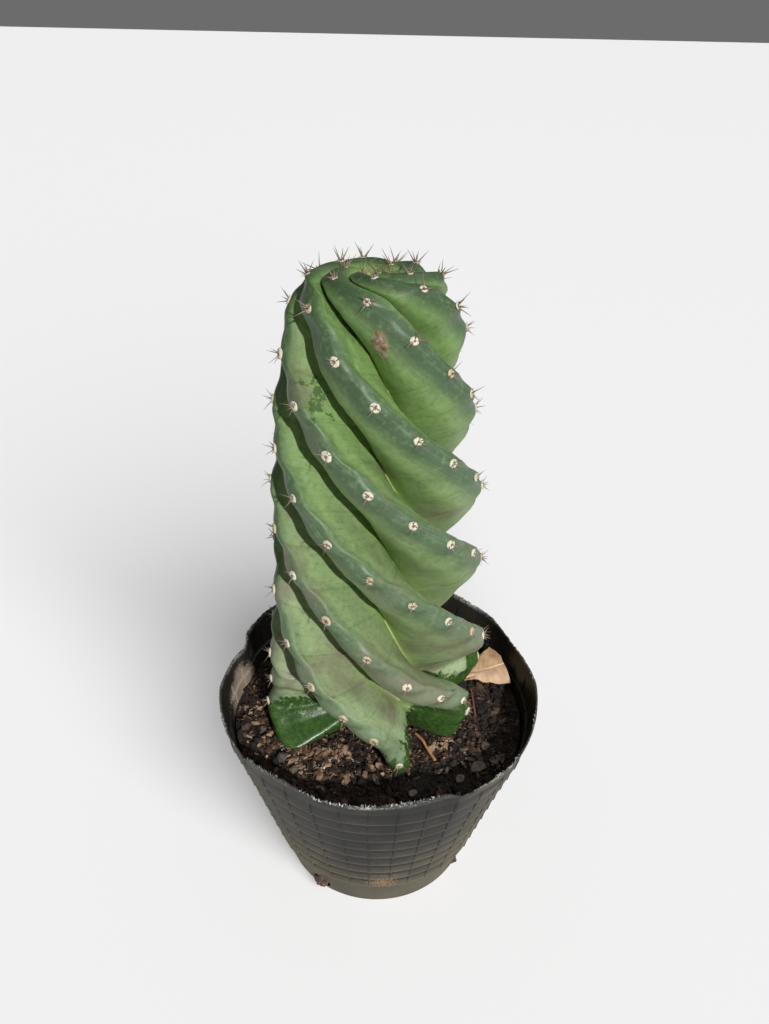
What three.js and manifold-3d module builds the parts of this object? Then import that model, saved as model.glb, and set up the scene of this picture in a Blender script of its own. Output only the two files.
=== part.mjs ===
// A spiral cactus in a plastic nursery pot: one six-ribbed column that twists as it grows, the potting
// mix it stands in, and the dry leaf, twigs, bark chips and stones that lie on the mix.
// Millimetres, +Z up. The origin is the middle of the pot's underside.
import * as THREE from 'three';
import { mergeVertices } from 'three/addons/utils/BufferGeometryUtils.js';
import Module from 'manifold-3d';

// Pot: a thin round wall that widens evenly from the base to a rim trimmed by hand
const RIM_RADIUS = 100;
const RIM_HEIGHT = 139;
const BASE_RADIUS = 60.5;
const WALL = 1.2;
const FLOOR = 1.6;
const POT_SIDES = 48;

// Ledges pressed into the wall, one above the other
const LEDGE_COUNT = 9;
const FIRST_LEDGE = 27;
const LEDGE_PITCH = 11.6;
const LEDGE_STEP = 0.7;
const LEDGE_SLOPE = 0.4;
const FOOT_ROUND = 1.5;

// Drain holes low in the wall
const DRAIN_COUNT = 4;
const DRAIN_ANGLE = -124;
const DRAIN_HEIGHT = 9.5;
const DRAIN_RADIUS = 6.4;

// How the soft rim strays from round: angle in degrees, then outward and upward distance
const RIM_WAVES = [
  [-174, 0, 0], [-150, 1, 0], [-143, 0, -3.5], [-137, 0, 0.5], [-122, -1.5, 1.5], [-108, 0, -0.8],
  [-80, -1, 1.8], [-69, -1.5, 2.4], [-61, 1, -1.2], [-42, 2, -0.8], [-5, -0.5, 0.5], [22, -4, 0],
  [47, 1, 0], [62, 3, 0.8], [90, 1, 0], [137, 3, 0], [151, 0, 0.5], [162, -6.5, 1], [172, -3, 0],
];
const RIM_RAGGED = 0.5;
const WAVE_START = 84;

// Potting mix
const SOIL_LEVEL = 116;
const SOIL_SIDE = 110;
const SOIL_BUMP = 1.1;
const SOIL_EDGE_DROP = 2.5;
const SOIL_RINGS = [1, 0.93, 0.8, 0.66, 0.52, 0.38, 0.24, 0.1, 0];
const GAP = 0.3;
const WALL_GAP = 0.6;
const CLODS = [
  { angle: -124, height: 9.8, radius: 5.2, proud: 4.2 },
  { angle: -34, height: 8.3, radius: 4.2, proud: 2.2 },
];

// Stem: half of one rib at each level. crest is the rib's edge and groove the valley beside it,
// both as [distance from the axis, height]; turn is the twist there in degrees.
const RIB_COUNT = 6;
const STEM_LEVELS = [
  { crest: [15, 116], groove: [15, 115.8], turn: 522 },
  { crest: [21, 120], groove: [16, 121], turn: 522 },
  { crest: [38, 120.3], groove: [18.5, 130], turn: 522 },
  { crest: [50, 121], groove: [20.5, 134.5], turn: 522 },
  { crest: [55.5, 126], groove: [22, 137], turn: 522 },
  { crest: [59.5, 136], groove: [23.5, 140], turn: 522 },
  { crest: [62, 150], groove: [24.5, 145], turn: 520 },
  { crest: [62.8, 165], groove: [24.5, 152.5], turn: 504 },
  { crest: [62, 190], groove: [23, 172], turn: 468.5 },
  { crest: [59, 230], groove: [21, 212], turn: 427 },
  { crest: [57, 280], groove: [20, 262], turn: 367 },
  { crest: [52, 330], groove: [20, 313], turn: 305 },
  { crest: [47, 368], groove: [21, 352], turn: 257 },
  { crest: [41.5, 387], groove: [19.5, 371], turn: 233 },
  { crest: [36.5, 397.5], groove: [16.5, 383], turn: 208 },
  { crest: [31.5, 403], groove: [14, 389.5], turn: 185 },
  { crest: [24, 406], groove: [11, 394], turn: 155 },
  { crest: [14.5, 406], groove: [7, 398], turn: 122 },
  { crest: [7, 404], groove: [4, 400], turn: 90 },
  { crest: [1.5, 401.5], groove: [1, 400.5], turn: 60 },
];
const STEM_TIP_HEIGHT = 401;
const RIB_HALF_WIDTH = 6.8;
const CREST_DEPTH = 0.44;
const CREST_WIDTH = 0.86;
const WIDEST_SHARE = 0.86;
const WIDEST_RADIUS = 62;

// The edge swells a little at each areole, up to where the ribs run in over the crown
const SCALLOP = 1.0;
const SCALLOP_ENDS = 30;

// A new row of points after so many degrees of twist, or so many millimetres along a rib's edge
const TURN_PER_ROW = 10.5;
const TRAVEL_PER_ROW = 14;
const STEPS_PER_LEVEL = 60;

// Swelling of a rib's flanks: [share of the way from groove to edge, on the side that faces down, on
// the side that faces up], and how much of it there is at each height
const FLANKS = [[0.68, 5, 0.7], [0.32, 4.4, 1.4]];
const SWELLING = [[118, 0], [135, 0.12], [190, 0.5], [240, 1], [368, 1.15], [400, 1]];

// Near the foot each rib strays from the rule: at these heights, how many degrees each one stands off
// even spacing and how much further out it reaches. The reach grows over a span of edge radius.
const FOOT_HEIGHTS = [118, 126, 136, 150, 165, 195];
const FOOT_SWING = [
  [-8, -8, -8, -8, -5, 0], [-2, -20, -29, -28, -10, 0], [1, 1, -2.5, -10.5, -8, 0],
  [-14, -14, -13.5, -10, -5, 0], [-19, -20, -20.5, -16, -7.5, 0], [-9, -9, -8.5, -6, -3, 0],
];
const FOOT_REACH = [
  [0, 0, 0, 0, 0, 0], [19, 15, 9, 3.5, 2, 0], [13, 7, 3, 0, 0, 0],
  [0, 0, 0, 0, 0, 0], [6, 8, 9, 8, 3, 0], [0, 0, 0, 0, 0, 0],
];
const REACH_GROWS = [22, 48];

// The column leans a little: [height, sideways shift of the axis]. The crown tilts back, so that its
// front stands higher: the rise for each millimetre forward, and the heights it comes in over.
const LEAN = [
  [116, 0], [150, -1.2], [190, -2.3], [280, -3.8], [330, -6], [370, -6.2], [400, -6.3], [406, -6.3],
];
const CROWN_TILT = 0.14;
const CROWN_TILTS = [385, 403];

// Foot of the stem, buried in the mix
const FOOT_RADIUS = 15;
const FOOT_TIP_RADIUS = 11;
const FOOT_BOTTOM = 72;
const HOLE_FLARE = 2.4;
const HOLE_CLEARANCE = 1;

// Areoles along each rib's edge: [height, distance to the next], and each rib's phase at foot and crown
const AREOLE_SPACING = [
  [112, 20], [140, 21], [160, 25], [180, 29], [215, 31], [250, 28.5], [300, 27.5], [385, 28],
  [395, 25], [403, 23.5], [406, 22],
];
const AREOLE_PHASE = [
  [0.92, 0.92], [0.75, 0.33], [0.42, 0.82], [0.1, -0.05], [0.75, 0.73], [0.47, 0.47],
];
const MOST_AREOLES = 20;
const LOWEST_AREOLE = 127;
const LAST_AREOLE_RADIUS = 9;
const AREOLE_RADIUS = 2.8;
const AREOLE_HEIGHT = 1.1;
const AREOLE_ROOT = 2.2;
const AREOLE_SINK = 0.25;
const AREOLE_SIDES = 5;
const SPINE_COUNT = 3;
const SPINE_LENGTH = 6.5;
const SPINE_HALF_WIDTH = 0.45;
const SPINE_SPREAD = 0.75;
const SPINE_OFFSET = 0.9;

// Colours and finish
const COLOURS = {
  cactus: { color: 0x6f9a68, roughness: 0.5 },
  pot: { color: 0x2c2d2e, roughness: 0.5 },
  soil: { color: 0x2b1d17, roughness: 0.95 },
  leaf: { color: 0xb58a62, roughness: 0.85 },
  twig: { color: 0xb87342, roughness: 0.8 },
  redStick: { color: 0x6b3b33, roughness: 0.8 },
  bark: { color: 0x8d8078, roughness: 0.9 },
  stone: { color: 0xb08d7c, roughness: 0.85 },
};

const wasm = await Module();
wasm.setup();

const radians = THREE.MathUtils.degToRad;
const lerp = THREE.MathUtils.lerp;

// A repeatable draw between -1 and 1
function makeRandom(seed) {
  let state = seed;
  return () => {
    state = (state * 1664525 + 1013904223) % 4294967296;
    return state / 2147483648 - 1;
  };
}

// Straight steps between rows of [position, value, ...]
function between(rows, position, column = 1) {
  if (position <= rows[0][0]) return rows[0][column];
  for (let i = 1; i < rows.length; i += 1) {
    if (position <= rows[i][0]) {
      const share = (position - rows[i - 1][0]) / (rows[i][0] - rows[i - 1][0]);
      return lerp(rows[i - 1][column], rows[i][column], share);
    }
  }
  return rows[rows.length - 1][column];
}

// The same round a full circle, eased at each row
function around(rows, degrees, column) {
  const first = rows[0][0];
  const place = first + ((((degrees - first) % 360) + 360) % 360);
  const closed = [...rows, [first + 360, ...rows[0].slice(1)]];
  const next = closed.findIndex((row) => row[0] >= place);
  const [a, b] = [closed[Math.max(next - 1, 0)], closed[Math.max(next, 1)]];
  const share = THREE.MathUtils.smoothstep(place, a[0], b[0]);
  return lerp(a[column], b[column], share);
}

function middleOf(row) {
  return row.reduce((sum, p) => sum.add(p), new THREE.Vector3()).divideScalar(row.length);
}

// Closed body from rows of points that run round the axis, each row closed on itself; the first and
// last rows are shut by a point
function bodyFromRows(rows, firstPoint, lastPoint) {
  const sides = rows[0].length;
  const points = [firstPoint, ...rows.flat(), lastPoint];
  const at = (row, side) => 1 + row * sides + (side % sides);
  const index = [];
  for (let side = 0; side < sides; side += 1) {
    index.push(0, at(0, side + 1), at(0, side));
    index.push(points.length - 1, at(rows.length - 1, side), at(rows.length - 1, side + 1));
    for (let row = 0; row + 1 < rows.length; row += 1) {
      const [a, b] = [at(row, side), at(row, side + 1)];
      const [c, d] = [at(row + 1, side + 1), at(row + 1, side)];
      index.push(a, b, c, a, c, d);
    }
  }
  const geometry = new THREE.BufferGeometry();
  const numbers = new Float32Array(points.flatMap((p) => [p.x, p.y, p.z]));
  geometry.setAttribute('position', new THREE.BufferAttribute(numbers, 3));
  geometry.setIndex(index);
  return geometry;
}

// Closed thin blade from rows of points that run along its lower face and back along its upper one.
// Both faces are split along the same diagonals, so that they don't cross where the blade is waved.
function bladeFromRows(rows) {
  const sides = rows[0].length;
  const last = rows.length - 1;
  const at = (row, side) => row * sides + (side % sides);
  const index = [];
  for (let side = 0; side < sides; side += 1) {
    for (let row = 0; row < last; row += 1) {
      const [a, b] = [at(row, side), at(row, side + 1)];
      const [c, d] = [at(row + 1, side + 1), at(row + 1, side)];
      if (side < sides / 2) index.push(a, b, c, a, c, d);
      else index.push(a, b, d, b, c, d);
    }
  }
  for (let side = 0; side + 1 < sides / 2; side += 1) {
    const [a, b, c, d] = [side, side + 1, sides - 2 - side, sides - 1 - side];
    index.push(a, d, c, a, c, b);
    index.push(at(last, a), at(last, b), at(last, c), at(last, a), at(last, c), at(last, d));
  }
  const geometry = new THREE.BufferGeometry();
  const numbers = new Float32Array(rows.flat().flatMap((p) => [p.x, p.y, p.z]));
  geometry.setAttribute('position', new THREE.BufferAttribute(numbers, 3));
  geometry.setIndex(index);
  return geometry;
}

function toSolid(geometry) {
  const plain = geometry.clone();
  plain.deleteAttribute('normal');
  plain.deleteAttribute('uv');
  const merged = mergeVertices(plain, 1e-5);
  return new wasm.Manifold(new wasm.Mesh({
    numProp: 3,
    vertProperties: new Float32Array(merged.attributes.position.array),
    triVerts: new Uint32Array(merged.index.array),
  }));
}

function toGeometry(solid) {
  const mesh = solid.getMesh();
  const geometry = new THREE.BufferGeometry();
  geometry.setAttribute('position', new THREE.BufferAttribute(new Float32Array(mesh.vertProperties), 3));
  geometry.setIndex(new THREE.BufferAttribute(new Uint32Array(mesh.triVerts), 1));
  return geometry;
}

function addAll(solids) {
  let layer = solids;
  while (layer.length > 1) {
    const joined = [];
    for (let i = 0; i < layer.length; i += 2) {
      joined.push(i + 1 < layer.length ? layer[i].add(layer[i + 1]) : layer[i]);
    }
    layer = joined;
  }
  return layer[0];
}

const group = new THREE.Group();

function place(name, geometry, look) {
  geometry.computeVertexNormals();
  const material = new THREE.MeshStandardMaterial({ ...look, metalness: 0 });
  const mesh = new THREE.Mesh(geometry, material);
  mesh.name = name;
  mesh.updateMatrixWorld(true);
  group.add(mesh);
  return mesh;
}

// Pot

function wallRadius(height, degrees) {
  const plain = lerp(BASE_RADIUS, RIM_RADIUS, height / RIM_HEIGHT);
  const share = Math.max(0, (height - WAVE_START) / (RIM_HEIGHT - WAVE_START));
  return plain + around(RIM_WAVES, degrees, 1) * share ** 1.5;
}

function rimHeight(degrees, ragged) {
  return RIM_HEIGHT + around(RIM_WAVES, degrees, 2) + ragged;
}

function ring(radiusAt, heightAt) {
  return Array.from({ length: POT_SIDES }, (_, side) => {
    const degrees = (side * 360) / POT_SIDES;
    const radius = radiusAt(degrees, side);
    const angle = radians(degrees);
    return new THREE.Vector3(radius * Math.cos(angle), radius * Math.sin(angle), heightAt(degrees, side));
  });
}

function wallRing(height, outward) {
  return ring((degrees) => wallRadius(height, degrees) + outward, () => height);
}

function makePot() {
  const random = makeRandom(7);
  const ragged = Array.from({ length: POT_SIDES }, () => random() * RIM_RAGGED);
  const rimAt = (degrees, side) => rimHeight(degrees, ragged[side]);
  const rimRing = (outward) => ring((degrees) => wallRadius(RIM_HEIGHT, degrees) + outward, rimAt);
  const rows = [ring(() => BASE_RADIUS - FOOT_ROUND, () => 0), wallRing(FOOT_ROUND, 0)];
  for (let ledge = 0; ledge < LEDGE_COUNT; ledge += 1) {
    const height = FIRST_LEDGE + ledge * LEDGE_PITCH;
    rows.push(wallRing(height, 0), wallRing(height + LEDGE_SLOPE, LEDGE_STEP));
  }
  rows.push(wallRing(FIRST_LEDGE + LEDGE_COUNT * LEDGE_PITCH, 0));
  rows.push(rimRing(0), rimRing(-WALL));
  rows.push(wallRing(SOIL_SIDE, -WALL), wallRing(WAVE_START, -WALL), wallRing(FLOOR, -WALL));
  const underside = new THREE.Vector3(0, 0, 0);
  const inside = new THREE.Vector3(0, 0, FLOOR);
  const holes = [];
  for (let hole = 0; hole < DRAIN_COUNT; hole += 1) {
    const cutter = new THREE.CylinderGeometry(DRAIN_RADIUS, DRAIN_RADIUS, 30, 16);
    const angle = radians(DRAIN_ANGLE + (hole * 360) / DRAIN_COUNT);
    cutter.rotateZ(-Math.PI / 2).translate(wallRadius(DRAIN_HEIGHT, 0), 0, DRAIN_HEIGHT).rotateZ(angle);
    holes.push(toSolid(cutter));
  }
  const shell = toSolid(bodyFromRows(rows, underside, inside));
  return toGeometry(shell.subtract(addAll(holes)));
}

// Potting mix

function soilHeight(x, y) {
  const far = Math.hypot(x, y) / 90;
  const bumps = Math.sin(x * 0.19 + 1.3) * Math.cos(y * 0.16 - 0.4) + 0.6 * Math.sin(x * 0.07 - y * 0.11);
  const humps = SOIL_BUMP * bumps * THREE.MathUtils.smoothstep(far, 0.2, 0.45);
  return SOIL_LEVEL + humps - SOIL_EDGE_DROP * far ** 3;
}

function makeSoil() {
  const inner = (height, degrees) => wallRadius(height, degrees) - WALL - WALL_GAP;
  const side = (height) => ring((degrees) => inner(height, degrees), () => height);
  const top = (share) => {
    const mouth = FOOT_RADIUS + HOLE_FLARE;
    const row = ring((degrees) => lerp(mouth, inner(SOIL_LEVEL - 3, degrees), share), () => 0);
    row.forEach((p) => { p.z = soilHeight(p.x, p.y); });
    return row;
  };
  const bottom = FLOOR + GAP;
  const rows = [side(bottom), side(WAVE_START), side(SOIL_SIDE), ...SOIL_RINGS.map(top)];
  rows.push(ring(() => FOOT_RADIUS + HOLE_CLEARANCE, () => SOIL_LEVEL - HOLE_FLARE));
  rows.push(ring(() => FOOT_TIP_RADIUS + 2 * GAP, () => FOOT_BOTTOM - GAP));
  const underside = new THREE.Vector3(0, 0, bottom);
  const body = bodyFromRows(rows, underside, new THREE.Vector3(0, 0, FOOT_BOTTOM - GAP));
  const clods = CLODS.map((clod, i) => {
    const random = makeRandom(21 + i);
    const lump = new THREE.IcosahedronGeometry(clod.radius, 1);
    lump.deleteAttribute('normal');
    lump.deleteAttribute('uv');
    const shape = mergeVertices(lump, 1e-4);
    const points = shape.attributes.position;
    for (let v = 0; v < points.count; v += 1) {
      const swell = 1 + 0.08 * random();
      points.setXYZ(v, points.getX(v) * swell, points.getY(v) * swell, points.getZ(v) * swell);
    }
    const out = wallRadius(clod.height, 0) + clod.proud - clod.radius;
    const neck = new THREE.CylinderGeometry(clod.radius * 0.85, clod.radius * 0.85, 14, 8);
    neck.rotateZ(-Math.PI / 2).translate(out - 7, 0, DRAIN_HEIGHT);
    shape.translate(out, 0, clod.height);
    const angle = radians(clod.angle);
    return toSolid(shape.rotateZ(angle)).add(toSolid(neck.rotateZ(angle)));
  });
  return toGeometry(addAll([toSolid(body), ...clods]));
}

// Stem

function levelAt(position) {
  const last = STEM_LEVELS.length - 1;
  const i = Math.min(Math.floor(position), last - 1);
  const at = (k) => STEM_LEVELS[THREE.MathUtils.clamp(k, 0, last)];
  const t = position - i;
  const smooth = (read) => {
    const [p0, p1, p2, p3] = [read(at(i - 1)), read(at(i)), read(at(i + 1)), read(at(i + 2))];
    const [m1, m2] = [(p2 - p0) / 2, (p3 - p1) / 2];
    const [t2, t3] = [t * t, t * t * t];
    return (2 * t3 - 3 * t2 + 1) * p1 + (t3 - 2 * t2 + t) * m1 + (3 * t2 - 2 * t3) * p2 + (t3 - t2) * m2;
  };
  return {
    crestRadius: smooth((level) => level.crest[0]),
    crestHeight: smooth((level) => level.crest[1]),
    grooveRadius: smooth((level) => level.groove[0]),
    grooveHeight: smooth((level) => level.groove[1]),
    turn: radians(smooth((level) => level.turn)),
  };
}

// The edge of a rib, walked in small steps: position, length so far, areoles so far
function walkCrest() {
  const steps = [];
  let length = 0;
  let count = 0;
  for (let i = 0; i <= (STEM_LEVELS.length - 1) * STEPS_PER_LEVEL; i += 1) {
    const position = i / STEPS_PER_LEVEL;
    const level = levelAt(position);
    if (i > 0) {
      const before = steps[i - 1].level;
      const rise = level.crestHeight - before.crestHeight;
      const inward = level.crestRadius - before.crestRadius;
      const sideways = level.crestRadius * (level.turn - before.turn);
      const step = Math.hypot(rise, inward, sideways);
      length += step;
      count += step / between(AREOLE_SPACING, level.crestHeight);
    }
    steps.push({ position, level, length, count });
  }
  return steps;
}

const crestSteps = walkCrest();

function phaseOf(rib, count) {
  const share = count / crestSteps[crestSteps.length - 1].count;
  return lerp(AREOLE_PHASE[rib][0], AREOLE_PHASE[rib][1], share);
}

function nearFoot(table, rib, height) {
  return between(FOOT_HEIGHTS.map((at, i) => [at, table[rib][i]]), height);
}

function ribAngle(level, rib) {
  const swing = nearFoot(FOOT_SWING, rib, level.crestHeight);
  return level.turn + (rib * 2 * Math.PI) / RIB_COUNT + radians(swing);
}

function edgeRadius(level, rib) {
  const share = THREE.MathUtils.smoothstep(level.crestRadius, ...REACH_GROWS);
  return level.crestRadius + nearFoot(FOOT_REACH, rib, level.crestHeight) * share;
}

function crownRise(y, height) {
  return -CROWN_TILT * y * THREE.MathUtils.smoothstep(height, ...CROWN_TILTS);
}

// One level of the stem: for each rib, its section from groove to groove across the rounded edge.
// A rib that runs aslant is cut aslant by the level, so it is wider there.
function stemRow(position) {
  const level = levelAt(position);
  const ahead = levelAt(Math.min(position + 0.05, STEM_LEVELS.length - 1));
  const behind = levelAt(Math.max(position - 0.05, 0));
  const rise = ahead.crestHeight - behind.crestHeight;
  const meridian = Math.hypot(ahead.crestRadius - behind.crestRadius, rise);
  const slope = (level.crestRadius * (behind.turn - ahead.turn)) / Math.max(meridian, 0.01);
  const widened = RIB_HALF_WIDTH * Math.sqrt(1 + slope * slope);
  const halfRib = Math.PI / RIB_COUNT;
  const grooveOut = level.grooveRadius * Math.cos(halfRib);
  const grooveSide = level.grooveRadius * Math.sin(halfRib);
  const count = crestSteps[Math.round(position * STEPS_PER_LEVEL)].count;
  const shift = between(LEAN, level.crestHeight);
  const points = [];
  for (let rib = 0; rib < RIB_COUNT; rib += 1) {
    const swell = SCALLOP * Math.cos(2 * Math.PI * (count - phaseOf(rib, count)));
    const edge = edgeRadius(level, rib);
    const halfWidth = Math.min(widened, WIDEST_SHARE * edge * Math.sin(halfRib));
    const out = edge + (edge > SCALLOP_ENDS ? swell : 0);
    const depth = Math.min(RIB_HALF_WIDTH, 0.5 * (out - grooveOut));
    const shoulder = [out - CREST_DEPTH * depth, CREST_WIDTH * halfWidth];
    const flank = (side) => FLANKS.map((row) => {
      const bulge = row[side] * between(SWELLING, level.crestHeight) * (edge / WIDEST_RADIUS);
      return [lerp(grooveOut, out, row[0]), lerp(grooveSide, halfWidth, row[0]) + bulge];
    });
    const below = [[grooveOut, grooveSide], ...flank(1).reverse(), shoulder].map(([x, y]) => [x, -y]);
    const section = [...below, [out, 0], shoulder, ...flank(2)];
    const middle = ribAngle(level, rib);
    section.forEach(([x, y]) => {
      const share = THREE.MathUtils.clamp((x - grooveOut) / Math.max(out - grooveOut, 0.01), 0, 1);
      const angle = middle + Math.atan2(y, x);
      const radius = Math.hypot(x, y);
      const forward = radius * Math.sin(angle);
      const flat = lerp(level.grooveHeight, level.crestHeight, share);
      const height = flat + crownRise(forward, flat);
      points.push(new THREE.Vector3(radius * Math.cos(angle) + shift, forward, height));
    });
  }
  return points;
}

function stemPositions() {
  const positions = [0];
  let last = crestSteps[0];
  crestSteps.forEach((step) => {
    const turned = Math.abs(step.level.turn - last.level.turn) >= radians(TURN_PER_ROW);
    if (turned || step.length - last.length >= TRAVEL_PER_ROW) {
      positions.push(step.position);
      last = step;
    }
  });
  return positions;
}

function makeStem() {
  const rows = stemPositions().map(stemRow);
  const [low, high] = [rows[0], rows[rows.length - 1]];
  const footRow = low.map((p) => {
    const angle = Math.atan2(p.y, p.x);
    const [x, y] = [FOOT_TIP_RADIUS * Math.cos(angle), FOOT_TIP_RADIUS * Math.sin(angle)];
    return new THREE.Vector3(x, y, FOOT_BOTTOM);
  });
  rows.unshift(footRow);
  const tip = middleOf(high);
  tip.z = STEM_TIP_HEIGHT;
  return toSolid(bodyFromRows(rows, new THREE.Vector3(0, 0, FOOT_BOTTOM), tip));
}

// A felt pad with its spines, at the origin, standing along +Z
function makeAreole(seed) {
  const random = makeRandom(seed);
  const height = AREOLE_HEIGHT + AREOLE_ROOT;
  const pad = new THREE.CylinderGeometry(AREOLE_RADIUS * 0.7, AREOLE_RADIUS, height, AREOLE_SIDES);
  pad.rotateX(Math.PI / 2).translate(0, 0, height / 2 - AREOLE_ROOT);
  const solids = [toSolid(pad)];
  for (let spine = 0; spine < SPINE_COUNT; spine += 1) {
    const length = SPINE_LENGTH * (1 + 0.18 * random());
    const needle = new THREE.CylinderGeometry(0, SPINE_HALF_WIDTH, length + AREOLE_HEIGHT, 3);
    needle.rotateX(Math.PI / 2).translate(0, 0, (length + AREOLE_HEIGHT) / 2 - AREOLE_HEIGHT * 0.4);
    const spread = SPINE_SPREAD * (1 + 0.35 * random());
    const heading = (spine * 2 * Math.PI) / SPINE_COUNT + 0.4 * random();
    needle.rotateY(spread);
    needle.translate(SPINE_OFFSET * Math.sin(spread), 0, 0).rotateZ(heading);
    solids.push(toSolid(needle));
  }
  return addAll(solids);
}

// Where a rib's edge is at one step of its walk, and which way is straight out of it there
function crestFrame(step, rib) {
  const { crestHeight } = step.level;
  const edge = edgeRadius(step.level, rib);
  const next = crestSteps[Math.min(crestSteps.indexOf(step) + 8, crestSteps.length - 1)].level;
  const before = crestSteps[Math.max(crestSteps.indexOf(step) - 8, 0)].level;
  const angle = ribAngle(step.level, rib);
  const radial = new THREE.Vector3(Math.cos(angle), Math.sin(angle), 0);
  const rise = next.crestHeight - before.crestHeight;
  const inward = next.crestRadius - before.crestRadius;
  const out = radial.clone().multiplyScalar(rise).add(new THREE.Vector3(0, 0, -inward)).normalize();
  const foot = radial.clone().multiplyScalar(edge + (edge > SCALLOP_ENDS ? SCALLOP : 0));
  foot.x += between(LEAN, crestHeight);
  foot.z = crestHeight + crownRise(foot.y, crestHeight);
  return { foot, out };
}

function makeAreoles() {
  const solids = [];
  for (let rib = 0; rib < RIB_COUNT; rib += 1) {
    for (let number = 0; number < MOST_AREOLES; number += 1) {
      const step = crestSteps.find((s) => s.count >= number + phaseOf(rib, s.count));
      const inReach = step && step.level.crestHeight >= LOWEST_AREOLE;
      if (!inReach || step.level.crestRadius < LAST_AREOLE_RADIUS) continue;
      const { foot, out } = crestFrame(step, rib);
      const frame = new THREE.Matrix4().makeRotationFromQuaternion(
        new THREE.Quaternion().setFromUnitVectors(new THREE.Vector3(0, 0, 1), out),
      );
      frame.setPosition(foot.addScaledVector(out, -AREOLE_SINK));
      solids.push(makeAreole(100 * rib + number + 1).transform(frame.elements));
    }
  }
  return solids;
}

function makeCactus() {
  return toGeometry(addAll([makeStem(), ...makeAreoles()]));
}

// Litter on the mix. Each piece is let down until it almost touches what is under it.

function seat(geometry, below, angle = 0) {
  const caster = new THREE.Raycaster();
  const down = new THREE.Vector3(0, 0, -1);
  const points = geometry.attributes.position;
  let least = Infinity;
  for (let v = 0; v < points.count; v += 1) {
    const start = new THREE.Vector3().fromBufferAttribute(points, v);
    caster.set(start, down);
    const hits = caster.intersectObject(below, false);
    if (hits.length > 0) least = Math.min(least, hits[0].distance);
  }
  return geometry.translate(0, 0, GAP + 0.1 - least).rotateZ(angle);
}

// A bent twig with tapered ends through the given points
function makeTwig(points, thickness) {
  const path = new THREE.CatmullRomCurve3(points.map(([x, y, z]) => new THREE.Vector3(x, y, z)));
  const outline = new THREE.Shape();
  const sides = 6;
  for (let side = 0; side < sides; side += 1) {
    const angle = (side * 2 * Math.PI) / sides;
    const [x, y] = [(thickness / 2) * Math.cos(angle), (thickness / 2) * Math.sin(angle)];
    if (side === 0) outline.moveTo(x, y);
    else outline.lineTo(x, y);
  }
  outline.closePath();
  return new THREE.ExtrudeGeometry(outline, { steps: 8, bevelEnabled: false, extrudePath: path });
}

// A flake with a broken outline
function makeChip(x, y, width, depth, thickness, turn, seed) {
  const random = makeRandom(seed);
  const outline = new THREE.Shape();
  const corners = 7;
  for (let corner = 0; corner < corners; corner += 1) {
    const angle = (corner * 2 * Math.PI) / corners;
    const reach = 1 + 0.22 * random();
    const [u, v] = [(width / 2) * reach * Math.cos(angle), (depth / 2) * reach * Math.sin(angle)];
    if (corner === 0) outline.moveTo(u, v);
    else outline.lineTo(u, v);
  }
  outline.closePath();
  const chip = new THREE.ExtrudeGeometry(outline, { depth: thickness, bevelEnabled: false });
  return chip.rotateZ(radians(turn)).translate(x, y, SOIL_LEVEL + 10);
}

function makePebble(x, y, size, flat, seed) {
  const random = makeRandom(seed);
  const stone = new THREE.IcosahedronGeometry(size / 2, 1);
  stone.deleteAttribute('normal');
  stone.deleteAttribute('uv');
  const shape = mergeVertices(stone, 1e-4);
  const points = shape.attributes.position;
  for (let v = 0; v < points.count; v += 1) {
    const swell = 1 + 0.13 * random();
    points.setXYZ(v, points.getX(v) * swell, points.getY(v) * swell, points.getZ(v) * flat * swell);
  }
  return shape.rotateZ(random()).translate(x, y, SOIL_LEVEL + 12);
}

// The dry leaf: a blade folded along its midrib, one half lying on the mix and the other standing up
// beside the pot. Rows are [midrib point, edge of the lying half, edge of the standing half], with
// heights above the mix.
const LEAF_ROWS = [
  [[52, 26.5, 1.8], [52.3, 25.4, 1.4], [52.6, 27.6, 2.4]],
  [[62.3, 29.5, 2.8], [62.5, 25.5, 1.6], [62.2, 32.5, 6]],
  [[69.5, 31, 4.4], [69, 22.8, 1.6], [67.5, 37, 12]],
  [[76.5, 32.2, 6.2], [77, 21.2, 1.8], [73.3, 39.2, 18]],
  [[83.5, 34.2, 8], [87.4, 20.6, 2.2], [81.5, 36, 13]],
];
const LEAF_THICKNESS = 0.8;

function makeLeaf() {
  const stations = LEAF_ROWS.map(([rib, low, high]) => {
    const [r, l, h] = [rib, low, high].map(([x, y, z]) => new THREE.Vector3(x, y, z + SOIL_LEVEL));
    const lowMiddle = l.clone().lerp(r, 0.5).add(new THREE.Vector3(0, 0, 0.7));
    const highMiddle = h.clone().lerp(r, 0.5).add(new THREE.Vector3(0.4, -0.4, -0.5));
    const across = [l, lowMiddle, r, highMiddle, h];
    const lift = new THREE.Vector3(-0.2, -0.45, 0.87).multiplyScalar(LEAF_THICKNESS);
    return [...across, ...across.slice().reverse().map((p) => p.clone().add(lift))];
  });
  return bladeFromRows(stations);
}

place('pot', makePot(), COLOURS.pot);
const soil = place('soil', makeSoil(), COLOURS.soil);
place('cactus', makeCactus(), COLOURS.cactus);
place('dry_leaf', seat(makeLeaf(), soil), COLOURS.leaf);

const raised = SOIL_LEVEL + 10;
const orangeTwig = makeTwig(
  [[23, -24, raised], [27, -30, raised + 0.8], [29, -35, raised + 0.5], [34, -45, raised]], 1.7,
);
place('orange_twig', seat(orangeTwig, soil), COLOURS.twig);
const redStick = makeTwig([[60.5, 18, raised], [61, 7, raised + 0.5], [61.5, -8, raised]], 1.5);
place('red_stick', seat(redStick, soil), COLOURS.redStick);

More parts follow.
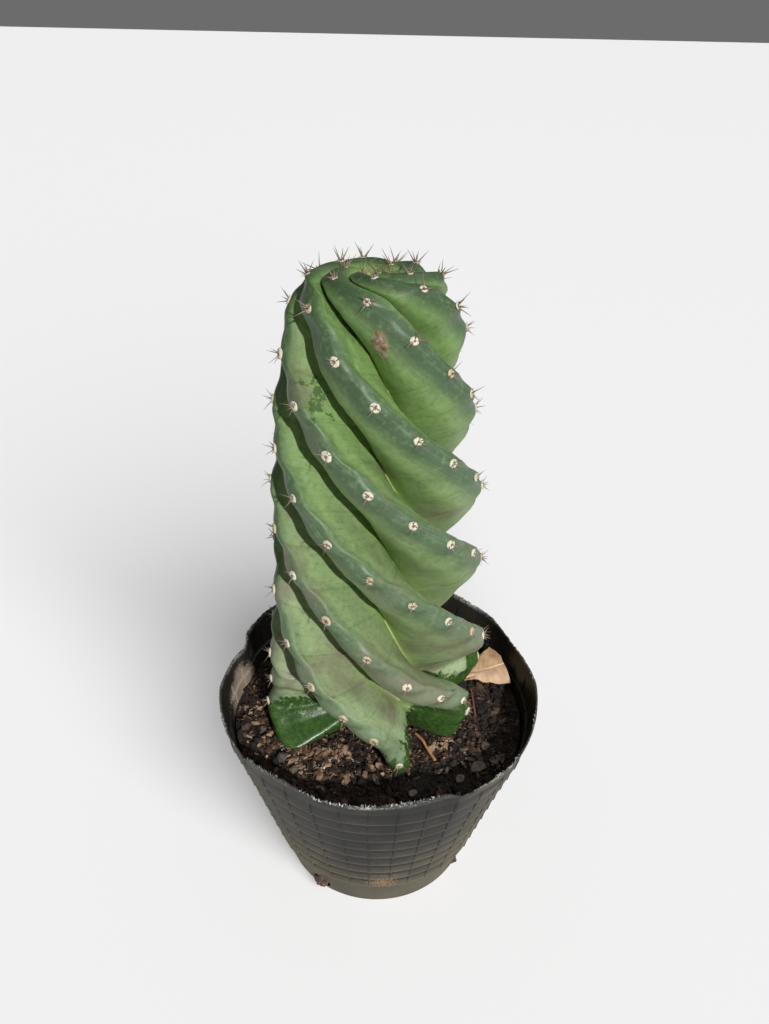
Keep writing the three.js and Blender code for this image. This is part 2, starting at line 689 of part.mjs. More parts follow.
const CHIPS = [
  [60, -49, 11, 7.5, 20], [70, -44, 7, 5, -35], [48, -58, 7.5, 5, 70], [66, -32, 6, 4, 10],
  [20, -69, 6.5, 4.5, 50], [-34, -66, 7, 4, -20],
];
CHIPS.forEach(([x, y, width, depth, turn], i) => {
  place(`bark_chip_${i + 1}`, seat(makeChip(x, y, width, depth, 1.2, turn, 41 + i), soil), COLOURS.bark);
});

const PEBBLES = [[-58, -44, 6.5, 0.75], [-50, -53, 4.5, 0.8], [-72, -20, 4, 0.8], [-20, -76, 4, 0.8]];
PEBBLES.forEach(([x, y, size, flat], i) => {
  place(`pebble_${i + 1}`, seat(makePebble(x, y, size, flat, 61 + i), soil), COLOURS.stone);
});

export default group;
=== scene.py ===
import functools
import math
import random

import bpy
import numpy as np
from mathutils import Matrix, Vector, noise


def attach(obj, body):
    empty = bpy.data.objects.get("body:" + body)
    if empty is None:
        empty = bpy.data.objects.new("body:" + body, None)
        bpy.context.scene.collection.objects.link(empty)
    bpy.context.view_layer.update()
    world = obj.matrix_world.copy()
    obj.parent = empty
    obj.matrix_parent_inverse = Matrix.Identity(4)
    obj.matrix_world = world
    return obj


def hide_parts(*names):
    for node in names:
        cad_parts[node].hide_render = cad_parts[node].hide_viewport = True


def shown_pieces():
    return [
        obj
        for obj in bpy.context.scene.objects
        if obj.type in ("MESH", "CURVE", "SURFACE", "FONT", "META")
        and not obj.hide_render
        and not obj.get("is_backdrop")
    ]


# A spiral cactus in a soft black nursery pot. Sizes are in millimetres and MM turns them to metres.
# The origin is the middle of the pot's underside, +Z is up and the viewer is on the -Y side.
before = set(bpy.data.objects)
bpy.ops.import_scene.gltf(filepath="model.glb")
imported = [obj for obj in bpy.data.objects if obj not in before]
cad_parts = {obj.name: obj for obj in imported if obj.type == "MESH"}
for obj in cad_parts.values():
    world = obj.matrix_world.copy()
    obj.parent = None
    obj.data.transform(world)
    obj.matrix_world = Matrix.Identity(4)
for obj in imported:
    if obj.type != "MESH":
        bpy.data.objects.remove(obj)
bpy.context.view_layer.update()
bpy.ops.object.select_all(action="DESELECT")

MM = 0.001

# Pot: a thin thermoformed wall that widens evenly from the base to a rim trimmed by hand. A ledge's
# shape is (height above its foot, share of its step), and the rim's waves are (angle, out, up).
RIM_RADIUS = 100
RIM_HEIGHT = 139
BASE_RADIUS = 60.5
WALL = 1.2
FLOOR = 1.6
FOOT_ROUND = 1.5
LEDGE_COUNT = 9
FIRST_LEDGE = 27
LEDGE_PITCH = 11.6
LEDGE_STEP = 1.15
LEDGE_SHAPE = [(-0.3, 0), (0, 0.75), (0.5, 1), (1.4, 0.9), (4.5, 0.62), (8, 0.3)]
LINE_COUNT = 36
LINE_PHASE = 6.5
LINE_TOP = 128.5
LINE_HEIGHT = 0.55
DRAIN_COUNT = 4
DRAIN_ANGLE = -124
DRAIN_HEIGHT = 9.5
DRAIN_RADIUS = 6.4
RIM_WAVES = [
    (-174, 0, 0), (-150, 1, 0), (-143, 0, -3.5), (-137, 0, 0.5), (-122, -1.5, 1.5), (-108, 0, -0.8),
    (-80, -1, 1.8), (-69, -1.5, 2.4), (-61, 1, -1.2), (-42, 2, -0.8), (-5, -0.5, 0.5), (22, -4, 0),
    (47, 1, 0), (62, 3, 0.8), (90, 1, 0), (137, 3, 0), (151, 0, 0.5), (162, -6.5, 1), (172, -3, 0),
]
WAVE_START = 84

# Potting mix
SOIL_LEVEL = 116
SOIL_BUMP = 1.1
SOIL_EDGE_DROP = 2.5
SOIL_EDGE_LEVEL = 113
SOIL_COLUMNS = 300
SOIL_RINGS = 120
GAP = 0.3
WALL_GAP = 0.6

# The mix has dried round the plant and at the left, and stays damp at the front and right: the middle
# of the dry patch, where it starts to fade and ends, and how much wider than deep it is
DRY_AT = (-14, -8)
DRY_REACH = (42, 58)
DRY_STRETCH = 1.4

# Stem: (edge radius, edge height, groove radius, groove height, twist in degrees) from foot to apex
RIB_COUNT = 6
LEVELS = np.array([
    (15, 116, 15, 115.8, 522), (21, 120, 16, 121, 522), (38, 120.3, 18.5, 130, 522),
    (50, 121, 20.5, 134.5, 522), (55.5, 126, 22, 137, 522), (59.5, 136, 23.5, 140, 522),
    (62, 150, 24.5, 145, 520), (62.8, 165, 24.5, 152.5, 504), (62, 190, 23, 172, 468.5),
    (59, 230, 21, 212, 427), (57, 280, 20, 262, 367), (52, 330, 20, 313, 305),
    (47, 368, 21, 352, 257), (41.5, 387, 19.5, 371, 233), (36.5, 397.5, 16.5, 383, 208),
    (31.5, 403, 14, 389.5, 185), (24, 406, 11, 394, 155), (14.5, 406, 7, 398, 122),
    (7, 404, 4, 400, 90), (1.5, 401.5, 1, 400.5, 60),
])

# The crown leans back by this slope, from the first height and in full from the second
CROWN_TILT = 0.14
CROWN_TILTS = (385, 403)

# A rib's section: its half width, how deep and wide its rounded crest is, its greatest width, and the
# flanks as (share of the depth, bulge below, bulge above). Swelling is by height.
RIB_HALF_WIDTH = 6.8
CREST_DEPTH = 0.44
CREST_WIDTH = 0.86
WIDEST_SHARE = 0.86
WIDEST_RADIUS = 62
FLANKS = [(0.32, 4.4, 1.4), (0.68, 5, 0.7)]
SWELLING = [(118, 0), (135, 0.12), (190, 0.5), (240, 1), (368, 1.15), (400, 1)]

# The feet: how far each rib swings aside, in degrees, and reaches out at these heights
FOOT_HEIGHTS = (118, 126, 136, 150, 165, 195)
FOOT_SWING = [
    (-8, -8, -8, -8, -5, 0), (-2, -20, -29, -28, -10, 0), (1, 1, -2.5, -10.5, -8, 0),
    (-14, -14, -13.5, -10, -5, 0), (-19, -20, -20.5, -16, -7.5, 0), (-9, -9, -8.5, -6, -3, 0),
]
FOOT_REACH = [
    (0, 0, 0, 0, 0, 0), (19, 15, 9, 3.5, 2, 0), (13, 7, 3, 0, 0, 0),
    (0, 0, 0, 0, 0, 0), (6, 8, 9, 8, 3, 0), (0, 0, 0, 0, 0, 0),
]

# How far the stem's middle is from the axis along X at each height: it leans to the left
LEAN = [
    (116, 0), (150, -1.2), (190, -2.3), (280, -3.8), (330, -6), (370, -6.2), (400, -6.3), (406, -6.3),
]
SCALLOP = 1.0
SCALLOP_FADES = (24, 34)
FOOT_TIP_RADIUS = 11
FOOT_BOTTOM = 72
FOOT_RADIUS = 15

# Areoles along each rib's edge: (height, distance to the next), and each rib's phase at foot and crown
AREOLE_SPACING = [
    (112, 20), (140, 21), (160, 25), (180, 29), (215, 31), (250, 28.5), (300, 27.5), (385, 28),
    (395, 25), (403, 23.5), (406, 22),
]
AREOLE_PHASE = [(0.92, 0.92), (0.75, 0.33), (0.42, 0.82), (0.1, -0.05), (0.75, 0.73), (0.47, 0.47)]
MOST_AREOLES = 20
AREOLE_SPAN = 8
USUAL_SPACING = 27

# No areole where a foot curls under: below the first height, or below the second within the radius
LOWEST_AREOLE = 127
CURLED_BELOW = 200
CURLED_RADIUS = 50

# The young areoles at the crown: heights where the change starts and is complete
YOUNG = (378, 396)
PAD_SIZE = (2.9, 2.35, 1.15)
PAD_LIFT = -0.35
WOOL_AT_AREOLE = 22
SPINES_AT_AREOLE = 3
EXTRA_SPINES = 2
SPINE_RADIUS = 0.36
SPINE_LENGTH = 6.5
SPINE_SPREAD = 0.75
SPINE_OFFSET = 0.9

# No spine reaches higher than the spines of the CAD part
SPINE_TOP = 414.8

# Relief of the skin as (depth, width): the furrow at each areole, the areole's seat and the swelling
# under it, and the dish along each flank
FURROW = (-0.3, 1.3)
SEAT = (-0.7, 3.4)
SWELL = (0.5, 5)
DISH = (-1.2, 5)
DISH_ASIDE = 13


def eased(value, low, high):
    """0 below low, 1 above high, and a smooth step between."""
    share = np.clip((np.asarray(value, float) - low) / (high - low), 0, 1)
    return share * share * (3 - 2 * share)


def along(rows, value):
    """Straight steps between rows of (position, value)."""
    places, values = zip(*rows)
    return np.interp(value, places, values)


def wave(degrees, column):
    """How far the rim strays from round at an angle: column 1 is outwards, 2 is upwards."""
    first = RIM_WAVES[0][0]
    place = first + (degrees - first) % 360
    closed = [*RIM_WAVES, (first + 360, *RIM_WAVES[0][1:])]
    after = next(i for i, row in enumerate(closed) if i > 0 and row[0] >= place)
    a, b = closed[after - 1], closed[after]
    share = float(eased(place, a[0], b[0]))
    return a[column] + (b[column] - a[column]) * share


def wall_radius(height, degrees):
    """Outer radius of the pot's plain wall."""
    plain = BASE_RADIUS + (RIM_RADIUS - BASE_RADIUS) * height / RIM_HEIGHT
    share = max(0, (height - WAVE_START) / (RIM_HEIGHT - WAVE_START))
    return plain + wave(degrees, 1) * share ** 1.5


# Mesh making

ALL_SMOOTH = 180


def closed_skin(name, rows, uv_maps=()):
    """A mesh from rows of points that run round an axis: a grid laid on the points, then sewn shut.
    rows is (rows, points, 3) in millimetres, with the last point of each row on its first."""
    rows = np.asarray(rows, float)
    count, around = rows.shape[:2]
    bpy.ops.mesh.primitive_grid_add(x_subdivisions=around - 1, y_subdivisions=count - 1, calc_uvs=False)
    piece = bpy.context.object
    piece.name = piece.data.name = name
    mesh = piece.data
    mesh.vertices.foreach_set("co", (rows * MM).astype(np.float32).ravel())
    corner = np.zeros(len(mesh.loops), int)
    mesh.loops.foreach_get("vertex_index", corner)
    first_corner = corner.reshape(-1, 4).min(1) % around
    for map_name, values in uv_maps:
        layer = mesh.uv_layers.new(name=map_name)
        face_column = np.repeat(first_corner, 4)
        pairs = values(corner // around, corner % around, face_column)
        layer.data.foreach_set("uv", np.asarray(pairs, np.float32).T.ravel())
    bpy.ops.object.mode_set(mode="EDIT")
    bpy.ops.mesh.select_all(action="SELECT")
    bpy.ops.mesh.remove_doubles(threshold=1e-6)
    bpy.ops.mesh.normals_make_consistent(inside=False)
    bpy.ops.object.mode_set(mode="OBJECT")
    return piece


def points_of(piece):
    """The piece's points, in millimetres."""
    flat = np.zeros(len(piece.data.vertices) * 3, np.float32)
    piece.data.vertices.foreach_get("co", flat)
    return flat.reshape(-1, 3).astype(float) / MM


def set_points(piece, points):
    piece.data.vertices.foreach_set("co", (np.asarray(points) * MM).astype(np.float32).ravel())
    piece.data.update()


def rough(points, size, depth, seed=0):
    """Noise at each point, about -depth to depth, with lumps of the given size in millimetres."""
    shift = Vector((seed * 17.3, seed * 5.1, seed * 9.7))
    return np.array([noise.noise(Vector(p) / size + shift) for p in points]) * depth


def smooth(piece, degrees):
    """Shades a piece smooth, but for edges sharper than this angle."""
    bpy.ops.object.select_all(action="DESELECT")
    piece.select_set(True)
    bpy.context.view_layer.objects.active = piece
    if degrees == ALL_SMOOTH:
        bpy.ops.object.shade_smooth()
    else:
        bpy.ops.object.shade_smooth_by_angle(angle=math.radians(degrees))
    bpy.ops.object.select_all(action="DESELECT")


def join(name, parts):
    """One piece from several."""
    bpy.ops.object.select_all(action="DESELECT")
    for part in parts:
        part.select_set(True)
    bpy.context.view_layer.objects.active = parts[0]
    bpy.ops.object.join()
    piece = bpy.context.object
    piece.name = piece.data.name = name
    bpy.ops.object.select_all(action="DESELECT")
    return piece


def scattered(name, shapes, places):
    """One piece from many copies: places is a list of (shape number, 4x4 matrix in millimetres).
    Its UV maps tell a material where a point is on its own copy: own_place holds the distance from
    the copy's axis and the height along it, own_number a number that is the copy's alone."""
    sources = []
    for shape in shapes:
        points = points_of(shape)
        own = np.stack([np.hypot(points[:, 0], points[:, 1]), points[:, 2]], -1)
        sources.append((points, [tuple(p.vertices) for p in shape.data.polygons], own))
    draw = random.Random(len(places))
    points, faces, own_place, own_number, start = [], [], [], [], 0
    for number, matrix in places:
        shape_points, shape_faces, own = sources[number]
        points.append((shape_points @ np.array(matrix.to_3x3()).T + np.array(matrix.translation)) * MM)
        faces.extend(tuple(start + i for i in face) for face in shape_faces)
        own_place.append(own)
        own_number.append(np.tile((draw.random(), draw.random()), (len(own), 1)))
        start += len(shape_points)
    mesh = bpy.data.meshes.new(name)
    mesh.from_pydata(np.vstack(points).tolist(), [], faces)
    corner = np.zeros(len(mesh.loops), int)
    mesh.loops.foreach_get("vertex_index", corner)
    for map_name, values in (("own_place", own_place), ("own_number", own_number)):
        layer = mesh.uv_layers.new(name=map_name)
        layer.data.foreach_set("uv", np.vstack(values)[corner].astype(np.float32).ravel())
    piece = bpy.data.objects.new(name, mesh)
    bpy.context.scene.collection.objects.link(piece)
    for shape in shapes:
        bpy.data.objects.remove(shape)
    return piece


def finish_piece(piece, material, slot, *nodes, soft=0):
    """Gives a piece its smooth shading, up to the angle soft, and its place in the visual model."""
    if soft:
        smooth(piece, soft)
    piece.data.materials.clear()
    piece.data.materials.append(material)
    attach(piece, "root")
    if nodes:
        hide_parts(*nodes)


# Material making

def colour(code):
    """An sRGB hex colour as linear red, green, blue and alpha."""
    parts = [int(code[i:i + 2], 16) / 255 for i in (1, 3, 5)]
    return (*[p / 12.92 if p <= 0.04045 else ((p + 0.055) / 1.055) ** 2.4 for p in parts], 1)


def add_node(material, kind, inputs=(), operation=None, stops=(), out=0, **settings):
    """Adds a shader node and gives the output that out names, or None where it has no outputs. Inputs
    are a list, or go by number or name: a socket is linked, a value is set. Settings are its options."""
    node = material.node_tree.nodes.new("ShaderNode" + kind)
    if operation:
        node.operation = operation
    for name, value in settings.items():
        setattr(node, name, value)
    for key, value in (inputs if isinstance(inputs, dict) else dict(enumerate(inputs))).items():
        if isinstance(value, bpy.types.NodeSocket):
            material.node_tree.links.new(value, node.inputs[key])
        else:
            node.inputs[key].default_value = value
    if stops:
        ramp = node.color_ramp
        while len(ramp.elements) < len(stops):
            ramp.elements.new(0.5)
        for element, (place, shade) in zip(ramp.elements, stops):
            element.position = place
            element.color = colour(shade)
    return node.outputs[out] if node.outputs else None


def new_material(name):
    """A material without nodes, and the function that adds nodes to it."""
    material = bpy.data.materials.new(name)
    material.use_nodes = True
    material.node_tree.nodes.clear()
    return material, functools.partial(add_node, material)


def surfaced(material, add, inputs):
    """The material with the surface that has these inputs."""
    add("OutputMaterial", [add("BsdfPrincipled", inputs)])
    return material


def from_map(add, name):
    """What a UV map of the piece holds, as two values."""
    return add("SeparateXYZ", [add("UVMap", uv_map=name)], out=slice(3))


def painted(add, tone, shade, value, start, full, most=1.0, **how):
    """The tone with a shade laid over it: none where the value is at start, most where it is at full."""
    amount = add("MapRange", [value, start, full, 0.0, most], **how)
    return add("Mix", {0: amount, 6: tone, 7: shade}, data_type="RGBA", out=2)


# Stem

ROWS = 340
STEPS_PER_LEVEL = 60
SECTION_STEPS = [6, 5, 4, 4, 4, 4, 5, 6]


def level_at(positions):
    """Rows of the level table at fractional positions, eased through the levels on either side."""
    last = len(LEVELS) - 1
    start = np.minimum(np.floor(positions).astype(int), last - 1)
    t = (positions - start)[:, None]
    p0, p1, p2, p3 = (LEVELS[np.clip(start + k, 0, last)] for k in (-1, 0, 1, 2))
    m1, m2 = (p2 - p0) / 2, (p3 - p1) / 2
    t2, t3 = t ** 2, t ** 3
    values = (2 * t3 - 3 * t2 + 1) * p1 + (t3 - 2 * t2 + t) * m1 + (3 * t2 - 2 * t3) * p2 + (t3 - t2) * m2
    values[:, 4] = np.radians(values[:, 4])
    return values


def walk_edge():
    """A rib's edge in small steps: position in the table, length so far and areoles so far."""
    positions = np.arange((len(LEVELS) - 1) * STEPS_PER_LEVEL + 1) / STEPS_PER_LEVEL
    level = level_at(positions)
    change = np.diff(level, axis=0)
    steps = np.sqrt(change[:, 0] ** 2 + change[:, 1] ** 2 + (level[1:, 0] * change[:, 4]) ** 2)
    counts = steps / along(AREOLE_SPACING, level[1:, 1])
    length = np.concatenate([[0], np.cumsum(steps)])
    count = np.concatenate([[0], np.cumsum(counts)])
    return positions, level, length, count


EDGE_POSITION, EDGE_LEVEL, EDGE_LENGTH, EDGE_COUNT = walk_edge()


def phase_of(rib, count):
    low, high = AREOLE_PHASE[rib]
    return low + (high - low) * count / EDGE_COUNT[-1]


def near_foot(table, rib, height):
    """A rib's own value from a table of heights near the foot, 0 above them."""
    return np.interp(height, FOOT_HEIGHTS, table[rib])


def rib_angle(level, rib):
    swing = near_foot(FOOT_SWING, rib, level[..., 1])
    return level[..., 4] + rib * 2 * math.pi / RIB_COUNT + np.radians(swing)


def edge_radius(level, rib):
    """How far a rib's edge is from the axis: some ribs reach further out where they meet the mix."""
    return level[..., 0] + near_foot(FOOT_REACH, rib, level[..., 1]) * eased(level[..., 0], 22, 48)


def crown_rise(y, height):
    """How much higher a point of the crown stands: its front is raised."""
    return -CROWN_TILT * y * eased(height, *CROWN_TILTS)


def section(level, slope, rib, count):
    """A rib's section at each row: key points from groove to groove as (outwards, sideways)."""
    edge, groove = edge_radius(level, rib), level[:, 2]
    half_rib = math.pi / RIB_COUNT
    widened = RIB_HALF_WIDTH * np.sqrt(1 + slope ** 2)
    half_width = np.minimum(widened, WIDEST_SHARE * edge * math.sin(half_rib))
    groove_out, groove_side = groove * math.cos(half_rib), groove * math.sin(half_rib)
    swell = SCALLOP * np.cos(2 * math.pi * (count - phase_of(rib, count)))
    out = edge + swell * eased(edge, *SCALLOP_FADES)
    depth = np.minimum(RIB_HALF_WIDTH, 0.5 * (out - groove_out))
    bulge = along(SWELLING, level[:, 1]) * edge / WIDEST_RADIUS

    def flank(share, amount):
        aside = groove_side + (half_width - groove_side) * share + amount * bulge
        return groove_out + (out - groove_out) * share, aside

    valley, shoulder = (groove_out, groove_side), (out - CREST_DEPTH * depth, CREST_WIDTH * half_width)
    below = [valley, *(flank(share, low) for share, low, _ in FLANKS), shoulder]
    above = [shoulder, *(flank(share, high) for share, _, high in reversed(FLANKS)), valley]
    keys = [(x, -y) for x, y in below] + [(out, 0 * out)] + above
    return np.array([np.stack(key, -1) for key in keys]), groove_out, out


def rounded(keys):
    """A smooth line through the key points, sharp at its two ends. keys is (points, rows, 2)."""
    ends = [2 * keys[0] - keys[1], *keys, 2 * keys[-1] - keys[-2]]
    line = []
    for i, steps in enumerate(SECTION_STEPS):
        p0, p1, p2, p3 = ends[i:i + 4]
        for step in range(steps):
            t = step / steps
            line.append(0.5 * (2 * p1 + (p2 - p0) * t + (2 * p0 - 5 * p1 + 4 * p2 - p3) * t ** 2
                               + (3 * p1 - p0 - 3 * p2 + p3) * t ** 3))
    line.append(keys[-1])
    return np.array(line)


def stem_rows():
    """Points of the stem in rows from foot to apex, with each point's place along and across its rib."""
    positions = np.interp(np.linspace(0, EDGE_LENGTH[-1], ROWS), EDGE_LENGTH, EDGE_POSITION)
    level = level_at(positions)
    length = np.interp(positions, EDGE_POSITION, EDGE_LENGTH)
    count = np.interp(positions, EDGE_POSITION, EDGE_COUNT)
    ahead = level_at(np.minimum(positions + 0.05, len(LEVELS) - 1))
    behind = level_at(np.maximum(positions - 0.05, 0))
    rise = np.maximum(np.hypot(ahead[:, 0] - behind[:, 0], ahead[:, 1] - behind[:, 1]), 0.01)
    slope = level[:, 0] * (behind[:, 4] - ahead[:, 4]) / rise
    shift = along(LEAN, level[:, 1])
    columns, facts = [], []
    for rib in range(RIB_COUNT):
        keys, groove_out, out = section(level, slope, rib, count)
        line = rounded(keys)
        x, y = line[..., 0], line[..., 1]
        share = np.clip((x - groove_out) / np.maximum(out - groove_out, 0.01), 0, 1)
        angle = rib_angle(level, rib) + np.arctan2(y, x)
        radius = np.hypot(x, y)
        height = level[:, 3] + (level[:, 1] - level[:, 3]) * share
        height = height + crown_rise(radius * np.sin(angle), height)
        points = np.stack([radius * np.cos(angle) + shift, radius * np.sin(angle), height], -1)
        gap = np.linalg.norm(np.diff(points, axis=0), axis=-1)
        run = np.concatenate([np.zeros((1, ROWS)), np.cumsum(gap, axis=0)])
        middle = sum(SECTION_STEPS) // 2
        growth = np.broadcast_to(count - phase_of(rib, count), run.shape)
        groove_distance = np.minimum(run, run[-1] - run)
        from_foot = np.broadcast_to(length, run.shape)
        facts.append(np.stack([growth, run - run[middle], groove_distance, from_foot], -1))
        columns.append(points)
    return columns, facts


def relief(points, fact, rib):
    """How far the skin stands out or in at each point of a rib."""
    growth, side, groove = fact[..., 0], fact[..., 1], fact[..., 2]
    from_areole = (growth - np.round(growth)) * USUAL_SPACING
    on_flank = eased(np.abs(side), 6, 12) * eased(groove, 1, 6)
    bend = 1.5 * np.sin(side / 7 + rib)
    furrow = FURROW[0] * np.exp(-((from_areole - bend) / FURROW[1]) ** 2) * on_flank
    seat = SEAT[0] * np.exp(-(from_areole ** 2 + side ** 2) / SEAT[1] ** 2)
    dish = DISH[0] * np.exp(-((side - DISH_ASIDE) / DISH[1]) ** 2) * eased(groove, 2, 10)
    below_seat = SWELL[0] * np.exp(-((from_areole + 7) ** 2 / SWELL[1] ** 2 + side ** 2 / SWELL[1] ** 2))
    flat = points.reshape(-1, 3)
    lumps = rough(flat, 24, 0.9, 1) + rough(flat, 9, 0.35, 2)
    calm = eased(fact[..., 3], 20, 60) * (1 - eased(points[..., 2], 392, 402))
    return (furrow + seat + dish + below_seat + lumps.reshape(growth.shape) * eased(groove, 0, 5)) * calm


def make_stem():
    columns, facts = stem_rows()
    rows, values = [], []
    for rib, (points, fact) in enumerate(zip(columns, facts)):
        across = np.gradient(points, axis=0)
        upward = np.gradient(points, axis=1)
        normal = np.cross(across, upward)
        normal /= np.maximum(np.linalg.norm(normal, axis=-1, keepdims=True), 1e-9)
        points = points + normal * relief(points, fact, rib)[..., None]
        rows.append(points[:-1])
        values.append(fact)
    body = np.concatenate(rows).transpose(1, 0, 2)
    body = np.concatenate([body, body[:, :1]], axis=1)
    foot = body[0].copy()
    angle = np.arctan2(foot[:, 1], foot[:, 0])
    foot[:, :2] = FOOT_TIP_RADIUS * np.stack([np.cos(angle), np.sin(angle)], -1)
    foot[:, 2] = FOOT_BOTTOM
    foot_tip = np.zeros_like(foot) + (0, 0, FOOT_BOTTOM)
    apex = np.zeros_like(foot) + body[-1, :-1].mean(0)
    body = np.concatenate([[foot_tip, foot], body, [apex]])
    table = np.stack(values)
    per_rib = sum(SECTION_STEPS)

    def fact_at(row, column, face_column, first, second):
        rib = np.clip(face_column // per_rib, 0, RIB_COUNT - 1)
        place = column - rib * per_rib
        place = np.where(place < 0, per_rib, place)
        place = np.clip(place, 0, per_rib)
        kept_row = np.clip(row - 2, 0, ROWS - 1)
        return table[rib, place, kept_row, first], table[rib, place, kept_row, second]

    def edge_run(row, column, face_column):
        return fact_at(row, column, face_column, 0, 1)

    def groove_run(row, column, face_column):
        return fact_at(row, column, face_column, 3, 2)

    return closed_skin("cactus_stem", body, [("edge_run", edge_run), ("groove_run", groove_run)])


# Areoles: a felt pad, its loose wool and its spines

def number_maker(seed):
    """A repeatable draw between -1 and 1."""
    state = [seed]

    def draw():
        state[0] = (state[0] * 1664525 + 1013904223) % 4294967296
        return state[0] / 2147483648 - 1

    return draw


def edge_point(level, rib):
    """A point on a rib's edge and the outward radial direction there."""
    angle = rib_angle(level, rib)
    radial = Vector((math.cos(angle), math.sin(angle), 0))
    reach = float(edge_radius(level, rib)) + SCALLOP * float(eased(level[0], *SCALLOP_FADES))
    point = radial * reach + Vector((float(along(LEAN, level[1])), 0, level[1]))
    point.z += float(crown_rise(point.y, level[1]))
    return point, radial


def areoles():
    """Each areole as (seed, place, direction straight out, direction along the rib, size)."""
    found = []
    for rib in range(RIB_COUNT):
        own = EDGE_COUNT - phase_of(rib, EDGE_COUNT)
        for number in range(MOST_AREOLES):
            if own[-1] < number:
                break
            step = int(np.argmax(own >= number))
            level = EDGE_LEVEL[step]
            curled_under = level[0] < CURLED_RADIUS and level[1] < CURLED_BELOW
            if level[1] < LOWEST_AREOLE or curled_under:
                continue
            before = EDGE_LEVEL[max(step - AREOLE_SPAN, 0)]
            after = EDGE_LEVEL[min(step + AREOLE_SPAN, len(EDGE_LEVEL) - 1)]
            point, radial = edge_point(level, rib)
            out = (radial * (after[1] - before[1]) + Vector((0, 0, before[0] - after[0]))).normalized()
            run = edge_point(after, rib)[0] - edge_point(before, rib)[0]
            run = (run - out * run.dot(out)).normalized()
            size = 0.55 + 0.45 * float(eased(level[0], 4, 22))
            found.append((100 * rib + number + 1, point, out, run, size))
    return found


def standing(place, out, run):
    """A matrix that puts +Z along out and +X along run."""
    side = out.cross(run).normalized()
    turned = Matrix((run, side, out)).transposed().to_4x4()
    return Matrix.Translation(place) @ turned


def felt_pad_shapes():
    """Three low cushions of felt, each with a hollow in the middle where the spines stand."""
    shapes = []
    for number in range(3):
        bpy.ops.mesh.primitive_uv_sphere_add(segments=16, ring_count=10, radius=MM)
        shape = bpy.context.object
        points = points_of(shape)
        radius = np.hypot(points[:, 0], points[:, 1])
        points *= PAD_SIZE
        points[:, 2] -= 0.75 * np.exp(-(radius / 0.42) ** 2) * (points[:, 2] > 0)
        points += np.stack([rough(points, 0.9, 0.28, number + k) for k in range(3)], -1)
        set_points(shape, points)
        shapes.append(shape)
    return shapes


def slice_across(places, way):
    """Cuts the shape in hand across at each place, so that it can bend there."""
    bpy.ops.object.mode_set(mode="EDIT")
    for place in places:
        bpy.ops.mesh.select_all(action="SELECT")
        bpy.ops.mesh.bisect(plane_co=[part * MM for part in place], plane_no=way)
    bpy.ops.object.mode_set(mode="OBJECT")


def thorn_shape(radius, sides=6):
    """A slim cone of unit length that stands on its base and bends a little to one side."""
    bpy.ops.mesh.primitive_cylinder_add(vertices=sides, radius=MM, depth=MM, location=(0, 0, MM / 2))
    shape = bpy.context.object
    bpy.ops.object.transform_apply(location=True)
    slice_across([(0, 0, 0.35), (0, 0, 0.7)], (0, 0, 1))
    points = points_of(shape)
    points[:, :2] *= radius * np.clip(1.0 - 0.92 * points[:, 2:], 0.06, 1)
    points[:, 0] += 0.06 * points[:, 2] ** 2
    set_points(shape, points)
    return shape


def make_areoles():
    pads, wool, spines = [], [], []
    draw = random.Random(5)
    for seed, place, out, run, size in areoles():
        seated = standing(place + out * PAD_LIFT, out, run)
        young = float(eased(place.z, *YOUNG))
        shape = draw.randrange(3)
        turned = seated @ Matrix.Rotation(draw.uniform(-0.4, 0.4), 4, "Z")
        pads.append((shape, turned @ Matrix.Scale(size * draw.uniform(0.88, 1.12) * (1 - 0.25 * young), 4)))
        for _ in range(WOOL_AT_AREOLE):
            heading, lean = draw.uniform(0, 2 * math.pi), draw.uniform(0.5, 1.35)
            length = draw.uniform(0.9, 1.9) * size
            stand = Matrix.Translation((draw.uniform(0.7, 2.2) * size, 0, 0.35))
            turned = seated @ Matrix.Rotation(heading, 4, "Z") @ stand @ Matrix.Rotation(lean, 4, "Y")
            wool.append((0, turned @ Matrix.Diagonal((1, 1, length, 1))))
        straight = Vector((0, 0, 1)).rotation_difference(out).to_matrix().to_4x4()
        upright = Matrix.Translation(place + out * PAD_LIFT) @ straight
        spin = number_maker(seed)
        for spine in range(SPINES_AT_AREOLE + EXTRA_SPINES):
            length = SPINE_LENGTH * (1 + 0.18 * spin())
            length *= 1 if spine < SPINES_AT_AREOLE else draw.uniform(0.5, 0.8)
            spread = SPINE_SPREAD * (1 + 0.35 * spin())
            heading = spine * 2 * math.pi / SPINES_AT_AREOLE + 0.4 * spin()
            if spine >= SPINES_AT_AREOLE:
                heading, spread = draw.uniform(0, 2 * math.pi), draw.uniform(0.15, 1.0)
            stand = Matrix.Translation((SPINE_OFFSET * math.sin(spread), 0, 0))
            stand = stand @ Matrix.Rotation(spread, 4, "Y")
            thick = (0.8 + 0.2 * size) * (1 + 0.2 * young)
            length = min(length * (1 + 0.35 * young), SPINE_TOP - place.z)
            turned = upright @ Matrix.Rotation(heading, 4, "Z") @ stand
            spines.append((0, turned @ Matrix.Diagonal((thick, thick, length * (0.8 + 0.2 * size), 1))))
    felt = scattered("areole_felt", felt_pad_shapes(), pads)
    loose = scattered("areole_wool", [thorn_shape(0.11, 3)], wool)
    thorns = scattered("spines", [thorn_shape(SPINE_RADIUS, 6)], spines)
    return felt, loose, thorns


# Pot

PERIOD_POINTS = 16
LINE_EDGES = [-0.5, -0.28, 0.28, 0.5]
RIM_INSET = 0.4
RAGGED_FROM = 133
LINED_INSIDE_FROM = 104
SHREDS = 2600


